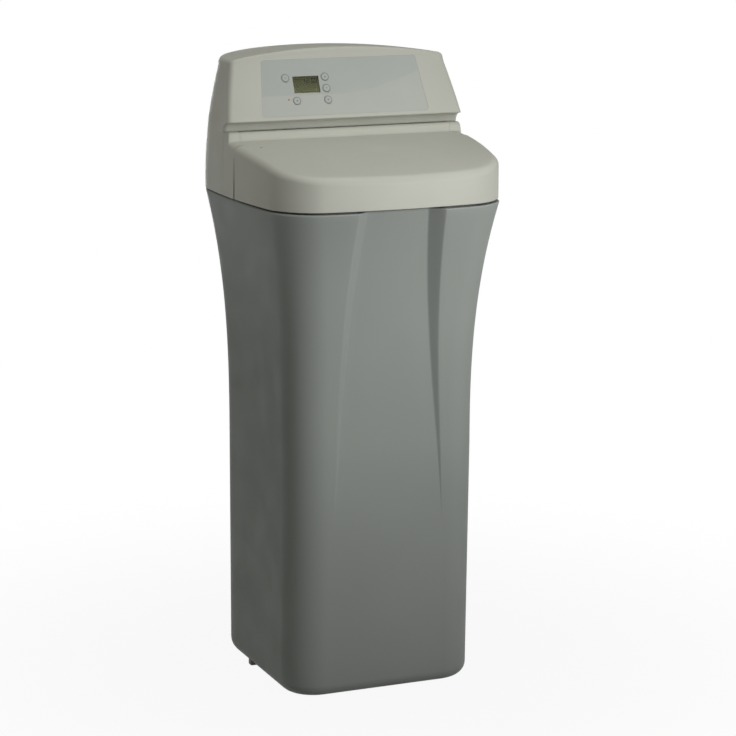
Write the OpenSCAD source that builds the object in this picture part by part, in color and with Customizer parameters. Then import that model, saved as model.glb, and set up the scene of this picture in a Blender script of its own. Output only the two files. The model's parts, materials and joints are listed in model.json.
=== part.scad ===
// Cabinet water softener: flared salt tank, sloped salt lid, control cover and the
// softening vessel, valve and brine parts inside. Millimetres, floor at z = 0, front at -Y.

/* [Cabinet] */
// height of the salt tank up to its rim
tank_h = 850; // [830:5:870]
// width of the cabinet at the floor
base_w = 346; // [336:2:356]
// depth of the cabinet at the floor
base_d = 402; // [398:1:408]
// how far each side leans out between mid height and the rim
side_flare = 28; // [24:1:32]
// how far the front leans out between mid height and the rim
front_flare = 43; // [38:1:48]
// wall of the moulded tank
tank_wall = 4; // [3:0.5:5]
// depth of the recess in the front, at the rim
recess_d = 17; // [10:1:20]

/* [Salt lid] */
// slope of the lid's top, falling to the front
lid_slope = 9.1; // [8:0.1:9.5]
// height of the lid's front above the rim
lid_front_h = 56.5; // [52:0.5:59]
// wall of the lid
lid_wall = 2.6; // [2:0.2:3.2]
// radius of the lid's hinge bead
bead_r = 6; // [5.5:0.25:6.5]
// radius of the hinge pins
pin_r = 3; // [2.5:0.25:3.5]

/* [Control cover] */
// lean of the control panel from upright
panel_tilt = 22.3; // [18:0.1:23]
// wall of the cover
cover_wall = 3; // [2.5:0.5:4]
// height of the crown above the rim
crown_h = 248; // [242:1:258]
// drop of the crown from the middle to each side
crown_drop = 17.5; // [8:0.5:20]

/* [Controls] */
// diameter of the push buttons
button_d = 14; // [12:0.5:14.5]
// travel of the push buttons
button_travel = 0.6; // [0.4:0.1:0.8]
// width of the display opening
lcd_w = 48; // [44:1:50]
// height of the display opening
lcd_h = 30; // [26:1:31]

/* [Softening vessel] */
// diameter of the softening vessel
vessel_d = 203.2; // [196:0.8:206]
// wall of the softening vessel
vessel_wall = 4; // [3:0.5:5]
// height of the resin bed
resin_h = 480; // [300:10:600]

/* [Plumbing] */
// distance between the inlet and the outlet
port_pitch = 54; // [50:1:60]
// outer diameter of the threaded water connections
thread_d = 33.4; // [30:0.2:34]
// travel of the bypass spool
spool_travel = 25; // [20:1:26]
// outer diameter of the hose barbs
barb_d = 13; // [11:0.5:14]

/* [Brine] */
// diameter of the brine well
well_d = 84; // [76:1:90]
// diameter of the float
float_d = 52; // [40:1:60]
// travel of the float
float_travel = 60; // [40:5:80]

/* [Hidden] */
$fn = 48;

// clearances, and the reach of cuts past a face and right through a part
eps = 0.01;
gap = 0.5;
slide_gap = 0.4;
run_fit = 0.06;
cut = 1;
through = 80;

// cabinet outline: straight to mid height, then a flare that quickens to the rim
flare_z = tank_h / 2;
flare_pow = 2.6;
front_draft = 13;
back_draft = 4;
back_flare = 31;
side_bow = 15.5;
front_bow = 20;
front_r0 = 62;
back_r0 = 108;
back_r_grow = 30;
floor_r = 22;
floor_t = 6;
ledge_in = 16;
ledge_t = 4;
shoulder = 3;

// front recess: two slanted steps that meet the flat front below
recess_z = 300;
recess_tip = 101;
recess_close = 21;
facet_w = 28;

function clamp01(v) = max(0, min(1, v));
function flare(z) = pow(clamp01((z - flare_z) / (tank_h - flare_z)), flare_pow);
function half_w(z) = base_w / 2 + side_flare * flare(z);
function half_f(z) = base_d / 2 + front_draft * clamp01(z / flare_z) + front_flare * flare(z);
function half_b(z) = base_d / 2 - back_draft * clamp01(z / flare_z) + back_flare * flare(z);
function back_r(z) = back_r0 + back_r_grow * flare(z);

// front and sides bulge a little in the middle
function bowed(p, w, f, b, bf, bs) =
    let (mid = (b - f) / 2, half = (b + f) / 2)
    let (fx = 1 - pow(p[0] / w, 2), fy = max(0, -p[1] / f), sy = 1 - pow((p[1] - mid) / half, 2))
    [p[0] + bs * p[0] / w * sy, p[1] - bf * fx * fy];

function arc(cx, cy, r, from, n) = [for (i = [0:n - 1]) let (t = from + 90 * i / n)
    [cx + r * cos(t), cy + r * sin(t)]];
function line(p, q, n) = [for (i = [0:n - 1]) p + (q - p) * i / n];

// flat front, straight sides, large rounded back
function d_plan(w, f, b, rf, rb, xo, xi) =
    let (a = w - rf, c = w - rb)
    concat(
        [for (x = [-a, -(a + xo) / 2, -xo, -xi, -xi / 2, 0, xi / 2, xi, xo, (a + xo) / 2]) [x, -f]],
        arc(a, rf - f, rf, -90, 5), line([w, rf - f], [w, b - rb], 4),
        arc(c, b - rb, rb, 0, 7), line([c, b], [-c, b], 4),
        arc(-c, b - rb, rb, 90, 7), line([-w, b - rb], [-w, rf - f], 4),
        arc(-a, rf - f, rf, 180, 5));

function recess_at(p, xo, xi) = p[1] > 0 ? 0 : clamp01((xo - abs(p[0])) / (xo - xi));

function tank_ring(z, inset) =
    let (w = half_w(z) - inset, f = half_f(z) - inset, b = half_b(z) - inset)
    let (t = clamp01((z - recess_z) / (tank_h - recess_z)))
    let (xo = recess_tip - recess_close * t, xi = xo - gap - facet_w * pow(t, 1.2))
    let (dep = recess_d * pow(t, 1.4))
    [for (p = d_plan(w, f, b, front_r0 - inset, back_r(z) - inset, xo, xi))
        let (q = bowed(p, w, f, b, front_bow * flare(z), side_bow * flare(z)))
        [q[0], q[1] + dep * recess_at(p, xo, xi), z]];

function side_faces(n, m) = [for (k = [0:m - 2]) for (i = [0:n - 1]) let (j = (i + 1) % n)
    each [[k * n + i, (k + 1) * n + i, (k + 1) * n + j], [k * n + i, (k + 1) * n + j, k * n + j]]];

function middle(ring) = [for (k = [0:2]) [for (p = ring) 1] * [for (p = ring) p[k]] / len(ring)];

// closed skin through a stack of rings, with a fan to the middle of the first and the last
module loft(rings) {
    n = len(rings[0]);
    m = len(rings);
    low = n * m;
    ends = [for (i = [0:n - 1]) let (j = (i + 1) % n)
        each [[low, i, j], [low + 1, (m - 1) * n + j, (m - 1) * n + i]]];
    polyhedron(points = concat([for (r = rings) each r], [middle(rings[0]), middle(rings[m - 1])]),
        faces = concat(side_faces(n, m), ends), convexity = 8);
}

// overflow outlet in the back wall
overflow_x = -45;
overflow_z = tank_h - 75;
overflow_hole_r = 11;
overflow_pad_r = 19;
overflow_y = half_b(overflow_z);
overflow_in = 4;
overflow_proud = 4;
// moulded nub at the foot of each side
nub_w = 16;
nub_y = 22;
nub_in = 3;

module salt_tank() {
    outer_z = [0.1, 0.25, recess_z / tank_h, 0.44, 0.52, 0.6, 0.68, 0.76, 0.83, 0.89, 0.94, 0.98] * tank_h;
    inner_z = [0.93, 0.84, 0.74, 0.63, 0.52, 0.42, recess_z / tank_h, 0.12] * tank_h;
    floor_rings = [for (a = [0, 30, 60, 90]) tank_ring(floor_r * (1 - cos(a)), floor_r * (1 - sin(a)))];
    rim_rings = [tank_ring(tank_h - shoulder, 0), tank_ring(tank_h, shoulder), tank_ring(tank_h, ledge_in),
        tank_ring(tank_h - ledge_t, ledge_in), tank_ring(tank_h - 5 * ledge_t, tank_wall)];
    base_rings = [tank_ring(floor_r, tank_wall), tank_ring(floor_t, tank_wall + floor_r / 2)];
    nub_x = base_w / 2 - floor_r / 2 - nub_in;
    color([0.5, 0.53, 0.5]) difference() {
        union() {
            loft(concat(floor_rings, [for (z = outer_z) tank_ring(z, 0)], rim_rings,
                [for (z = inner_z) tank_ring(z, tank_wall)], base_rings));
            translate([overflow_x, overflow_y - tank_wall - overflow_in, overflow_z]) rotate([-90, 0, 0])
                cylinder(r = overflow_pad_r, h = tank_wall + overflow_in + overflow_proud);
            for (s = [-1, 1]) translate([s * nub_x - floor_r / 2, nub_y - nub_w / 2, 0])
                cube([floor_r, nub_w, floor_r]);
        }
        translate([overflow_x, overflow_y - through / 2, overflow_z]) rotate([-90, 0, 0])
            cylinder(r = overflow_hole_r, h = through);
    }
}

// softening vessel's place: its boot stands against the back of the tank's floor
vessel_r = vessel_d / 2;
boot_t = 3;
boot_gap = 7.4;
boot_r = vessel_r + boot_t;
vessel_y = base_d / 2 - tank_wall - floor_r / 2 - boot_gap - boot_r;

// brine tube's place: beside the vessel, and near the left wall
tube_r = 5;
tube_clear = 5.4;
tube_in = 62;
tube_x = -max(base_w / 2 - tube_in, vessel_r + tube_r + tube_clear);
tube_off = 16;
tube_y = vessel_y - tube_off;

// rim deck
deck_t = 5;
deck_z = tank_h + deck_t;
deck_in = 10;
neck_hole_r = vessel_r + tube_clear;
hatch_in = 17.5;
hatch_side = 4;
hatch_x = base_w / 2 - hatch_side;
hatch_front = hatch_in - half_f(tank_h);
hatch_bar = 15;
hatch_back = vessel_y - neck_hole_r - hatch_bar;
hatch_r = 30;
hatch_wall = 3;
hatch_h = 20;

function rim_plan(inset) = [for (p = tank_ring(tank_h, inset)) [p[0], p[1]]];

// rounded rectangle from exact circles and squares
module round_rect(x0, y0, x1, y1, r) {
    for (x = [x0 + r, x1 - r], y = [y0 + r, y1 - r]) translate([x, y]) circle(r);
    translate([x0 + r, y0]) square([x1 - x0 - 2 * r, y1 - y0]);
    translate([x0, y0 + r]) square([x1 - x0, y1 - y0 - 2 * r]);
}

module rim_deck() {
    color([0.32, 0.33, 0.32]) difference() {
        union() {
            translate([0, 0, tank_h]) linear_extrude(deck_t) polygon(rim_plan(deck_in));
            translate([0, 0, tank_h]) linear_extrude(hatch_h)
                round_rect(-hatch_x - hatch_wall, hatch_front - hatch_wall, hatch_x + hatch_wall,
                    hatch_back + hatch_wall, hatch_r + hatch_wall);
        }
        translate([0, 0, tank_h - cut]) linear_extrude(hatch_h + 2 * cut)
            round_rect(-hatch_x, hatch_front, hatch_x, hatch_back, hatch_r);
        translate([0, vessel_y, tank_h - cut]) cylinder(r = neck_hole_r, h = deck_t + 2 * cut);
        translate([tube_x, tube_y, tank_h - cut]) cylinder(r = tube_r + gap, h = deck_t + 2 * cut);
    }
}

// lid and cover share the rim's outline, a little inside it
skin_in = 3;
cover_bow = 22;
skirt_gap = 3.5;
skirt_z = tank_h + skirt_gap;
bulkhead_off = 77;
bulkhead_y = vessel_y - bulkhead_off;
seam_off = 57;
seam_y = bulkhead_y - seam_off;
seam_gap = 1.2;
notch_in = 6;
notch_x = half_w(tank_h) - notch_in;
notch_gap = 4;
lid_rear_off = 21;
lid_rear = bulkhead_y - lid_rear_off;
lid_rear_h = 50;
lid_rear_z = tank_h + lid_rear_h;
edge_r = 12;
rim_w = half_w(tank_h) - skin_in;
rim_f = half_f(tank_h) - skin_in;
rim_b = half_b(tank_h) - skin_in;
lid_front_y = rim_f + front_bow;
lid_len = lid_front_y + lid_rear;
lid_mid = (lid_rear - lid_front_y) / 2;
lid_crown = 6.3;

// sloped top with a slight crown between the front and the hinge
function lid_top(y) = let (u = clamp01((y + lid_front_y) / lid_len))
    tank_h + lid_front_h + (y + lid_front_y) * tan(lid_slope) + lid_crown * 4 * u * (1 - u);

function lid_half(i, ir) =
    let (w = rim_w - i, f = rim_f - i, rf = front_r0 - i, a = w - rf)
    let (outer = concat(line([0, -f], [a, -f], 4), arc(a, rf - f, rf, -90, 5),
        line([w, rf - f], [w, seam_y - ir], 3), [[w, seam_y - ir]]))
    concat([for (p = outer) bowed(p, w, f, rim_b - i, front_bow, cover_bow)],
        [[notch_x - ir, seam_y - ir], [notch_x - ir, lid_rear - ir]]);
function lid_plan(i, ir) =
    let (right = lid_half(i, ir), n = len(right))
    concat(right, [for (k = [n - 1:-1:1]) [-right[k][0], right[k][1]]]);
function lid_foot(p) = p[1] > seam_y ? lid_rear_z
    : abs(p[0]) <= notch_x && p[1] > seam_y - 2 * lid_wall ? deck_z + notch_gap : skirt_z;
function lid_ring(i, ir, drop) = [for (p = lid_plan(i, ir)) [p[0], p[1], lid_top(p[1]) - drop]];
function lid_dome(i, ir, k, drop) = [for (p = lid_plan(i, ir)) let (y = lid_mid + (p[1] - lid_mid) * k)
    [p[0] * k, y, lid_top(y) - drop]];
function lid_foot_ring(i, ir) = [for (p = lid_plan(i, ir)) [p[0], p[1], lid_foot(p)]];

module salt_lid() {
    dome = [0.1, 0.4, 0.7, 1];
    ceiling = [for (k = dome) lid_dome(lid_wall + edge_r / 2, lid_wall, k, lid_wall)];
    skirt = [lid_ring(lid_wall, lid_wall, edge_r), lid_foot_ring(lid_wall, lid_wall), lid_foot_ring(0, 0)];
    edge = [for (a = [0, 30, 60]) lid_ring(edge_r * (1 - cos(a)), 0, edge_r * (1 - sin(a)))];
    top = [for (k = [3:-1:0]) lid_dome(edge_r, 0, dome[k], 0)];
    color([0.72, 0.73, 0.69]) loft(concat(ceiling, skirt, edge, top));
}

// hinge along the back of the lid
hinge_off = 16;
hinge_y = bulkhead_y - hinge_off;
hinge_h = 106.5;
hinge_z = tank_h + hinge_h;
web_front = 4;
web_half = 4.5;
web_sink = 4;
web_back = 2;
pin_len = 6.5;
bracket_gap = 1;
bracket_x = notch_x + bracket_gap;
bracket_t = 7;
bracket_front = bulkhead_y - 53;
bracket_back = bulkhead_y - 2;
bracket_drop = 14;

// places a profile drawn in (y, z) along the X axis
module along_x(x0, length) {
    translate([x0, 0, 0]) rotate([90, 0, 90]) linear_extrude(length) children();
}

module lid_hinge_bar() {
    top = lid_top(lid_rear);
    color([0.72, 0.73, 0.69]) union() {
        along_x(-notch_x, 2 * notch_x) union() {
            translate([hinge_y, hinge_z]) circle(bead_r);
            polygon([[lid_rear, top - 4 * bead_r], [lid_rear, top], [hinge_y - web_front, top + bead_r / 2],
                [hinge_y - web_half, hinge_z - web_sink], [hinge_y + web_half, hinge_z - web_sink],
                [hinge_y + web_back, top - bead_r]]);
        }
        for (x = [-notch_x - pin_len, notch_x - cut]) translate([x, hinge_y, hinge_z]) rotate([0, 90, 0])
            cylinder(r = pin_r, h = pin_len + cut);
    }
}

module hinge_bracket(x0) {
    color([0.68, 0.69, 0.65]) along_x(x0, bracket_t) difference() {
        union() {
            translate([hinge_y, hinge_z]) circle(bead_r);
            polygon([[bracket_front, deck_z], [bracket_back, deck_z], [hinge_y + bead_r * 0.9, hinge_z],
                [hinge_y - bead_r * 0.9, hinge_z], [bracket_front, hinge_z - bracket_drop]]);
        }
        translate([hinge_y, hinge_z]) circle(pin_r + run_fit);
    }
}

module hinge_bracket_left() {
    hinge_bracket(-bracket_x - bracket_t);
}

module hinge_bracket_right() {
    hinge_bracket(bracket_x);
}

// control cover
lip_h = 132.6;
lip_z = tank_h + lip_h;
lip_off = 24.4;
lip_y = bulkhead_y - lip_off;
lip_drop = 4;
lip_round = 3;
lip_cove = 4;
neck_in = 3;
cheek_t = 11;
cheek_gap = 1;
cheek_rise = 6;
corner_r = 5;
lip_flare = 5.3;
side_lean = 19.5;
back_lean = 28;
lean_h = crown_h - 18;
top_r = 8;
crown_half = 200;
crown_y = bulkhead_y + 23;
crown_len = 190;
cap_off = 113;
cap_y = bulkhead_y + cap_off;
panel_wall = cover_wall + 1;
back_drop = 12;

function panel_y(z) = lip_y + (z - lip_z) * tan(panel_tilt);
function cap_z(x, y) = tank_h + crown_h - crown_drop * pow(x / crown_half, 2)
    - back_drop * pow(max(0, y - crown_y) / crown_len, 2);
function lean_at(z) = pow(clamp01((z - skirt_z) / lean_h), 2);

function cover_w(y, i) =
    let (mid = (rim_b - rim_f) / 2, half = (rim_b + rim_f) / 2)
    rim_w - i + cover_bow * (1 - pow((y - mid) / half, 2));

// outline behind the front corners; side_y is where the sides start
function cover_back(side_y, i, lean) =
    let (w = rim_w - i - side_lean * lean, b = rim_b - i - back_lean * lean, rb = back_r(tank_h) - i)
    let (c = w - rb)
    let (right = concat(
        [for (k = [1:4]) [w, side_y + (b - rb - side_y) * k / 5]],
        arc(c, b - rb, rb, 0, 7), [[c, b], [c / 2, b]]))
    let (n = len(right))
    let (bowedr = [for (p = right) [p[0] + cover_bow * p[0] / w
        * (1 - pow((p[1] - (rim_b - rim_f) / 2) / ((rim_b + rim_f) / 2), 2)), p[1]]])
    concat(bowedr, [[0, b]], [for (k = [n - 1:-1:0]) [-bowedr[k][0], bowedr[k][1]]]);

front_x = [-1, -0.6, -0.3, 0, 0.3, 0.6, 1];

// ring below the lip: cheeks reach forward beside the bulkhead
function skirt_ring(z, zf, cheek_y, front_y, inset, i, out = 0) =
    let (lean = lean_at(z), w = cover_w(cheek_y, i) + out - side_lean * lean, n = w - inset)
    concat([[-w, cheek_y, z], [-n, cheek_y, z]], [for (k = front_x) [k * n, front_y, zf]],
        [[n, cheek_y, z], [w, cheek_y, z]],
        [for (p = cover_back(cheek_y, i, lean)) [p[0], p[1], z]]);

// ring of the panel part: s runs from the lip to the top edge, the front lies on the leaning panel
function panel_ring(s, i, back, drop) =
    let (zn = lip_z + s * (crown_h + tank_h - top_r - lip_z), lean = lean_at(zn))
    let (w = cover_w(bulkhead_y, i) + lip_flare * (1 - s) - side_lean * lean)
    let (n = w - corner_r, c = corner_r / 3)
    let (low = lip_z + 2 * i - lip_drop / 2)
    let (zs = function (x, y) low + s * (cap_z(x, y) - drop - low))
    concat(
        [for (q = [[-w, corner_r], [c - w, c]]) [q[0], panel_y(zs(q[0], 0)) + back + q[1], zs(q[0], 0)]],
        [for (k = front_x) [k * n, panel_y(zs(k * n, 0)) + back, zs(k * n, 0)]],
        [for (q = [[w - c, c], [w, corner_r]]) [q[0], panel_y(zs(q[0], 0)) + back + q[1], zs(q[0], 0)]],
        [for (p = cover_back(panel_y(zn) + corner_r, i, lean)) [p[0], p[1], zs(p[0], p[1])]]);

// ring on the crown: drawn in from the top edge by an inset, then scaled to the middle
function crown_ring(base, inset, k, drop) = [for (p = base)
    let (d = [p[0], p[1] - cap_y], r = norm(d), q = d * (r - inset) / r * k + [0, cap_y])
    [q[0], q[1], cap_z(q[0], q[1]) - drop]];

function cover_rings() =
    let (cheek_y = seam_y + seam_gap, neck_y = bulkhead_y - neck_in, top = lid_top(cheek_y) - cheek_gap)
    let (pin = panel_wall / cos(panel_tilt), iw = cover_wall, lip_low = lip_z - lip_drop)
    let (in_y = bulkhead_y + iw, in_cheek = in_y + neck_in, in_mid = (deck_z + lip_low) / 2)
    let (cheek_mid = (skirt_z + top) / 2, cove_z = lip_low - lip_cove)
    let (outer = panel_ring(1, 0, 0, top_r), inner = panel_ring(1, iw, pin, top_r))
    [crown_ring(inner, top_r - iw, 0.03, iw), crown_ring(inner, top_r - iw, 0.5, iw),
        crown_ring(inner, top_r - iw, 1, iw), inner, panel_ring(0.5, iw, pin, top_r),
        panel_ring(0, iw, pin, top_r),
        skirt_ring(lip_low + iw, lip_low + iw, in_cheek, in_y, corner_r, iw),
        skirt_ring(in_mid, in_mid, in_cheek, in_y, corner_r, iw),
        skirt_ring(skirt_z, deck_z, in_cheek, in_y, corner_r, iw),
        skirt_ring(skirt_z, deck_z, cheek_y, bulkhead_y, cheek_t, 0),
        skirt_ring(cheek_mid, cheek_mid, cheek_y, bulkhead_y, cheek_t, 0),
        skirt_ring(top, top, cheek_y, bulkhead_y, cheek_t, 0),
        skirt_ring(top + cheek_rise, top + cheek_rise, neck_y, bulkhead_y, cheek_t, 0),
        skirt_ring(cove_z, cove_z, neck_y, bulkhead_y, cheek_t, 0),
        skirt_ring(lip_low, lip_low, lip_y + lip_round + corner_r, lip_y + lip_round, corner_r, 0, lip_flare),
        panel_ring(0, 0, 0, top_r), panel_ring(0.35, 0, 0, top_r), panel_ring(0.7, 0, 0, top_r), outer,
        crown_ring(outer, top_r * 0.3, 1, top_r * 0.3), crown_ring(outer, top_r, 1, 0),
        crown_ring(outer, top_r, 0.7, 0), crown_ring(outer, top_r, 0.35, 0),
        crown_ring(outer, top_r, 0.03, 0)];

// flat frame on the panel: x across, y up the slope, z outward
module on_panel() {
    translate([0, lip_y, lip_z]) rotate([90 - panel_tilt, 0, 0]) children();
}

plate_t = 2;
plate_low = 3.5;
plate_top = 104.2;
plate_w0 = 155;
plate_w1 = 143.5;
plate_r = 5;
open_x0 = -122;
open_x1 = 10;
open_y0 = 14.7;
open_y1 = 92.7;
// way out for the water connections and the drain hose, in the cover's back
way_x = 78;
way_hose = 18;
way_low = 50;
way_h = 68;
way_in = 60;

// trapezoid with rounded corners
module plate_outline(grow) {
    w0 = plate_w0 + grow;
    w1 = plate_w1 + grow;
    r = plate_r + grow;
    y0 = plate_low - grow;
    y1 = plate_top + grow;
    lean = atan((w0 - w1) / (y1 - y0));
    dx0 = r * tan(45 + lean / 2);
    dx1 = r * tan(45 - lean / 2);
    polygon(concat(
        [for (a = [0:15:90 - lean]) [w0 - dx0 + r * cos(a - 90), y0 + r + r * sin(a - 90)]],
        [for (a = [0:15:90 + lean]) [w1 - dx1 + r * cos(a - lean), y1 - r + r * sin(a - lean)]],
        [for (a = [0:15:90 + lean]) [-w1 + dx1 + r * cos(a + 90), y1 - r + r * sin(a + 90)]],
        [for (a = [0:15:90 - lean])
            [-w0 + dx0 + r * cos(a + 180 + lean), y0 + r + r * sin(a + 180 + lean)]]));
}

module top_cover() {
    way_right = drain_x + drain_block / 2 + way_hose;
    color([0.72, 0.73, 0.69]) difference() {
        loft(cover_rings());
        on_panel() translate([0, 0, -plate_t]) linear_extrude(through) plate_outline(gap);
        on_panel() translate([open_x0, open_y0, -through / 2])
            cube([open_x1 - open_x0, open_y1 - open_y0, through]);
        translate([-way_x, rim_b - way_in, tank_h + way_low]) cube([way_x + way_right, through + way_in, way_h]);
    }
}

// controls on the leaning panel
lcd_x = -66.4;
lcd_y = 58.6;
lcd_rim = 2;
lcd_t = 4;
button_at = [[-103.4, 71.2], [-30.5, 71.2], [-30.5, 50.8], [-30.5, 30.1], [-87.8, 30.2]];
button_r = button_d / 2;
hole_r = button_r + slide_gap;
flange_r = hole_r + 1;
flange_t = 1.2;
button_proud = 0.8;
button_back = plate_t + slide_gap / 2;
stem_r = 2;
stem_end = -6;
switch_w = 6;
switch_h = 3;
plunger_r = 1.6;
switch_top = stem_end - button_travel - 0.1;
board_front = -11;
board_t = 1.6;
board_x0 = -116;
board_x1 = 2;
board_y0 = 19.7;
board_y1 = 87.7;
housing_t = 2;
housing_back = -24;
housing_rim = 4;
post_board_r = 4;
screw_in = 5;
screw_r = 1.4;
screw_hole_r = 1.7;
screw_head_r = 3;
screw_head_t = 1.8;
screw_len = 8;
board_holes = [for (x = [board_x0 + screw_in, board_x1 - screw_in],
    y = [board_y0 + screw_in, board_y1 - screw_in]) [x, y]];
lens_t = 1.5;

module faceplate() {
    color([0.62, 0.65, 0.66]) on_panel() translate([0, 0, -plate_t]) linear_extrude(plate_t) difference() {
        plate_outline(0);
        translate([lcd_x - lcd_w / 2, lcd_y - lcd_h / 2]) square([lcd_w, lcd_h]);
        for (p = button_at) translate(p) circle(hole_r);
    }
}

module display_window() {
    color([0.75, 0.8, 0.75, 0.5]) on_panel()
        translate([lcd_x - lcd_w / 2 + slide_gap / 4, lcd_y - lcd_h / 2 + slide_gap / 4, -plate_t])
            cube([lcd_w - slide_gap / 2, lcd_h - slide_gap / 2, lens_t]);
}

module lcd_module() {
    back = -plate_t - lcd_t;
    color([0.33, 0.36, 0.27]) on_panel() translate([lcd_x, lcd_y, 0]) {
        translate([-lcd_w / 2 - lcd_rim, -lcd_h / 2 - lcd_rim, back])
            cube([lcd_w + 2 * lcd_rim, lcd_h + 2 * lcd_rim, lcd_t]);
        translate([lcd_rim - lcd_w / 2, lcd_rim - lcd_h / 2, board_front])
            cube([lcd_w - 2 * lcd_rim, lcd_h - 2 * lcd_rim, back - board_front + eps]);
    }
}

module push_button(k) {
    color([0.6, 0.62, 0.6]) on_panel() translate(button_at[k]) {
        translate([0, 0, -button_back - flange_t / 2])
            cylinder(r = button_r, h = button_back + flange_t / 2 + button_proud);
        translate([0, 0, -button_back - flange_t]) cylinder(r = flange_r, h = flange_t);
        translate([0, 0, stem_end]) cylinder(r = stem_r, h = -stem_end - plate_t);
    }
}

module button_left() {
    push_button(0);
}

module button_up() {
    push_button(1);
}

module button_select() {
    push_button(2);
}

module button_down() {
    push_button(3);
}

module button_recharge() {
    push_button(4);
}

module tact_switches() {
    color([0.15, 0.15, 0.16]) on_panel() for (p = button_at) translate([p[0], p[1], board_front]) {
        translate([-switch_w / 2, -switch_w / 2, 0]) cube([switch_w, switch_w, switch_h]);
        cylinder(r = plunger_r, h = switch_top - board_front);
    }
}

module control_board() {
    color([0.1, 0.32, 0.18]) on_panel() difference() {
        translate([board_x0, board_y0, board_front - board_t])
            cube([board_x1 - board_x0, board_y1 - board_y0, board_t]);
        for (p = board_holes) translate([p[0], p[1], board_front - board_t - cut])
            cylinder(r = screw_hole_r, h = board_t + 2 * cut);
    }
}

// open tray that carries the board and hangs on the panel's back
module board_housing() {
    color([0.25, 0.26, 0.26]) on_panel() difference() {
        translate([open_x0 - housing_rim, open_y0 - housing_rim, housing_back])
            cube([open_x1 - open_x0 + 2 * housing_rim, open_y1 - open_y0 + 2 * housing_rim,
                -panel_wall - housing_back]);
        translate([open_x0, open_y0, housing_back + housing_t])
            cube([open_x1 - open_x0, open_y1 - open_y0, through]);
    }
    color([0.25, 0.26, 0.26]) on_panel() difference() {
        for (p = board_holes) translate([p[0], p[1], housing_back + housing_t / 2])
            cylinder(r = post_board_r, h = board_front - board_t - housing_back - housing_t / 2);
        for (p = board_holes) translate([p[0], p[1], housing_back + housing_t])
            cylinder(r = screw_r + gap / 5, h = through);
    }
}

module board_screws() {
    color([0.7, 0.71, 0.72]) on_panel() for (p = board_holes) translate([p[0], p[1], board_front]) {
        cylinder(r = screw_head_r, h = screw_head_t);
        translate([0, 0, -screw_len]) cylinder(r = screw_r, h = screw_len + eps);
    }
}

// softening vessel, standing in a boot at the back of the tank
dome_h = 50;
vessel_z0 = floor_t;
shoulder_drop = 36;
vessel_z1 = tank_h - shoulder_drop;
neck_r = 44;
neck_in_r = 38;
neck_bore_r = 32;
neck_rise = 43;
neck_z = tank_h + neck_rise;
neck_t = 9;
dome_steps = 8;
riser_r = 13;
riser_bore_r = 11;
riser_up = 14;

function dome(r, z, h, from, to) = [for (i = [0:dome_steps]) let (t = from + (to - from) * i / dome_steps)
    [r * cos(t), z + h * sin(t)]];

// half section of the vessel, up to the neck, drawn in by an inset
module vessel_profile(inset, mouth_r, mouth_z) {
    z0 = vessel_z0 + dome_h;
    r = vessel_r - inset;
    a = acos((neck_in_r - inset) / r);
    polygon(concat([[0, vessel_z0 + inset]], dome(r, z0, dome_h - inset, -80, 0),
        dome(r, vessel_z1, dome_h - inset, 0, a), [[mouth_r, mouth_z], [0, mouth_z]]));
}

module resin_tank() {
    color([0.2, 0.28, 0.38]) translate([0, vessel_y, 0]) difference() {
        union() {
            rotate_extrude() vessel_profile(0, neck_in_r, neck_z - neck_t);
            translate([0, 0, neck_z - neck_t]) cylinder(r = neck_r, h = neck_t);
        }
        rotate_extrude() vessel_profile(vessel_wall, neck_bore_r, neck_z + cut);
    }
}

module tank_boot() {
    pts = dome(vessel_r + gap, vessel_z0 + dome_h - gap, dome_h, -62, -10);
    color([0.1, 0.1, 0.1]) translate([0, vessel_y, 0]) rotate_extrude() polygon(concat(
        [[pts[0][0], floor_t]], pts, [[boot_r, pts[dome_steps][1]], [boot_r, floor_t]]));
}

resin_z = vessel_z0 + dome_h + 2;

module resin_bed() {
    color([0.66, 0.5, 0.24]) translate([0, vessel_y, resin_z]) difference() {
        cylinder(r = vessel_r - vessel_wall - gap, h = resin_h);
        translate([0, 0, -cut]) cylinder(r = riser_r + gap, h = resin_h + 2 * cut);
    }
}

basket_low = 40;
basket_h = 39;
basket_t = 9;
basket_floor = 6;
riser_in = 20;
riser_z0 = resin_z - riser_in;

module riser_tube() {
    length = neck_z + riser_up - riser_z0;
    color([0.85, 0.85, 0.82]) translate([0, vessel_y, riser_z0]) difference() {
        cylinder(r = riser_r, h = length);
        translate([0, 0, -cut]) cylinder(r = riser_bore_r, h = length + 2 * cut);
    }
}

// slots that go round a basket at one height
module slot_row(r0, w) {
    for (a = [0:60:300]) rotate([0, 0, a]) translate([r0, -w / 2, 0]) cube([w + 2, w, 1]);
}

module bottom_distributor() {
    color([0.8, 0.8, 0.76]) translate([0, vessel_y, resin_z - basket_low]) difference() {
        cylinder(r = riser_r + basket_t, h = basket_h);
        translate([0, 0, basket_low - riser_in]) cylinder(r = riser_r, h = basket_h);
        translate([0, 0, basket_floor]) cylinder(r = riser_bore_r, h = basket_h);
        for (z = [8:4:28]) translate([0, 0, z]) slot_row(riser_r + 3, 8);
    }
}

module top_distributor() {
    color([0.8, 0.8, 0.76]) translate([0, vessel_y, neck_z - basket_low]) difference() {
        cylinder(r = neck_bore_r - 2, h = basket_h);
        translate([0, 0, -cut]) cylinder(r = riser_r + gap, h = basket_h + 2 * cut);
        for (z = [4:5:24]) translate([0, 0, z]) slot_row(riser_r + 6, 12);
    }
}

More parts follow.
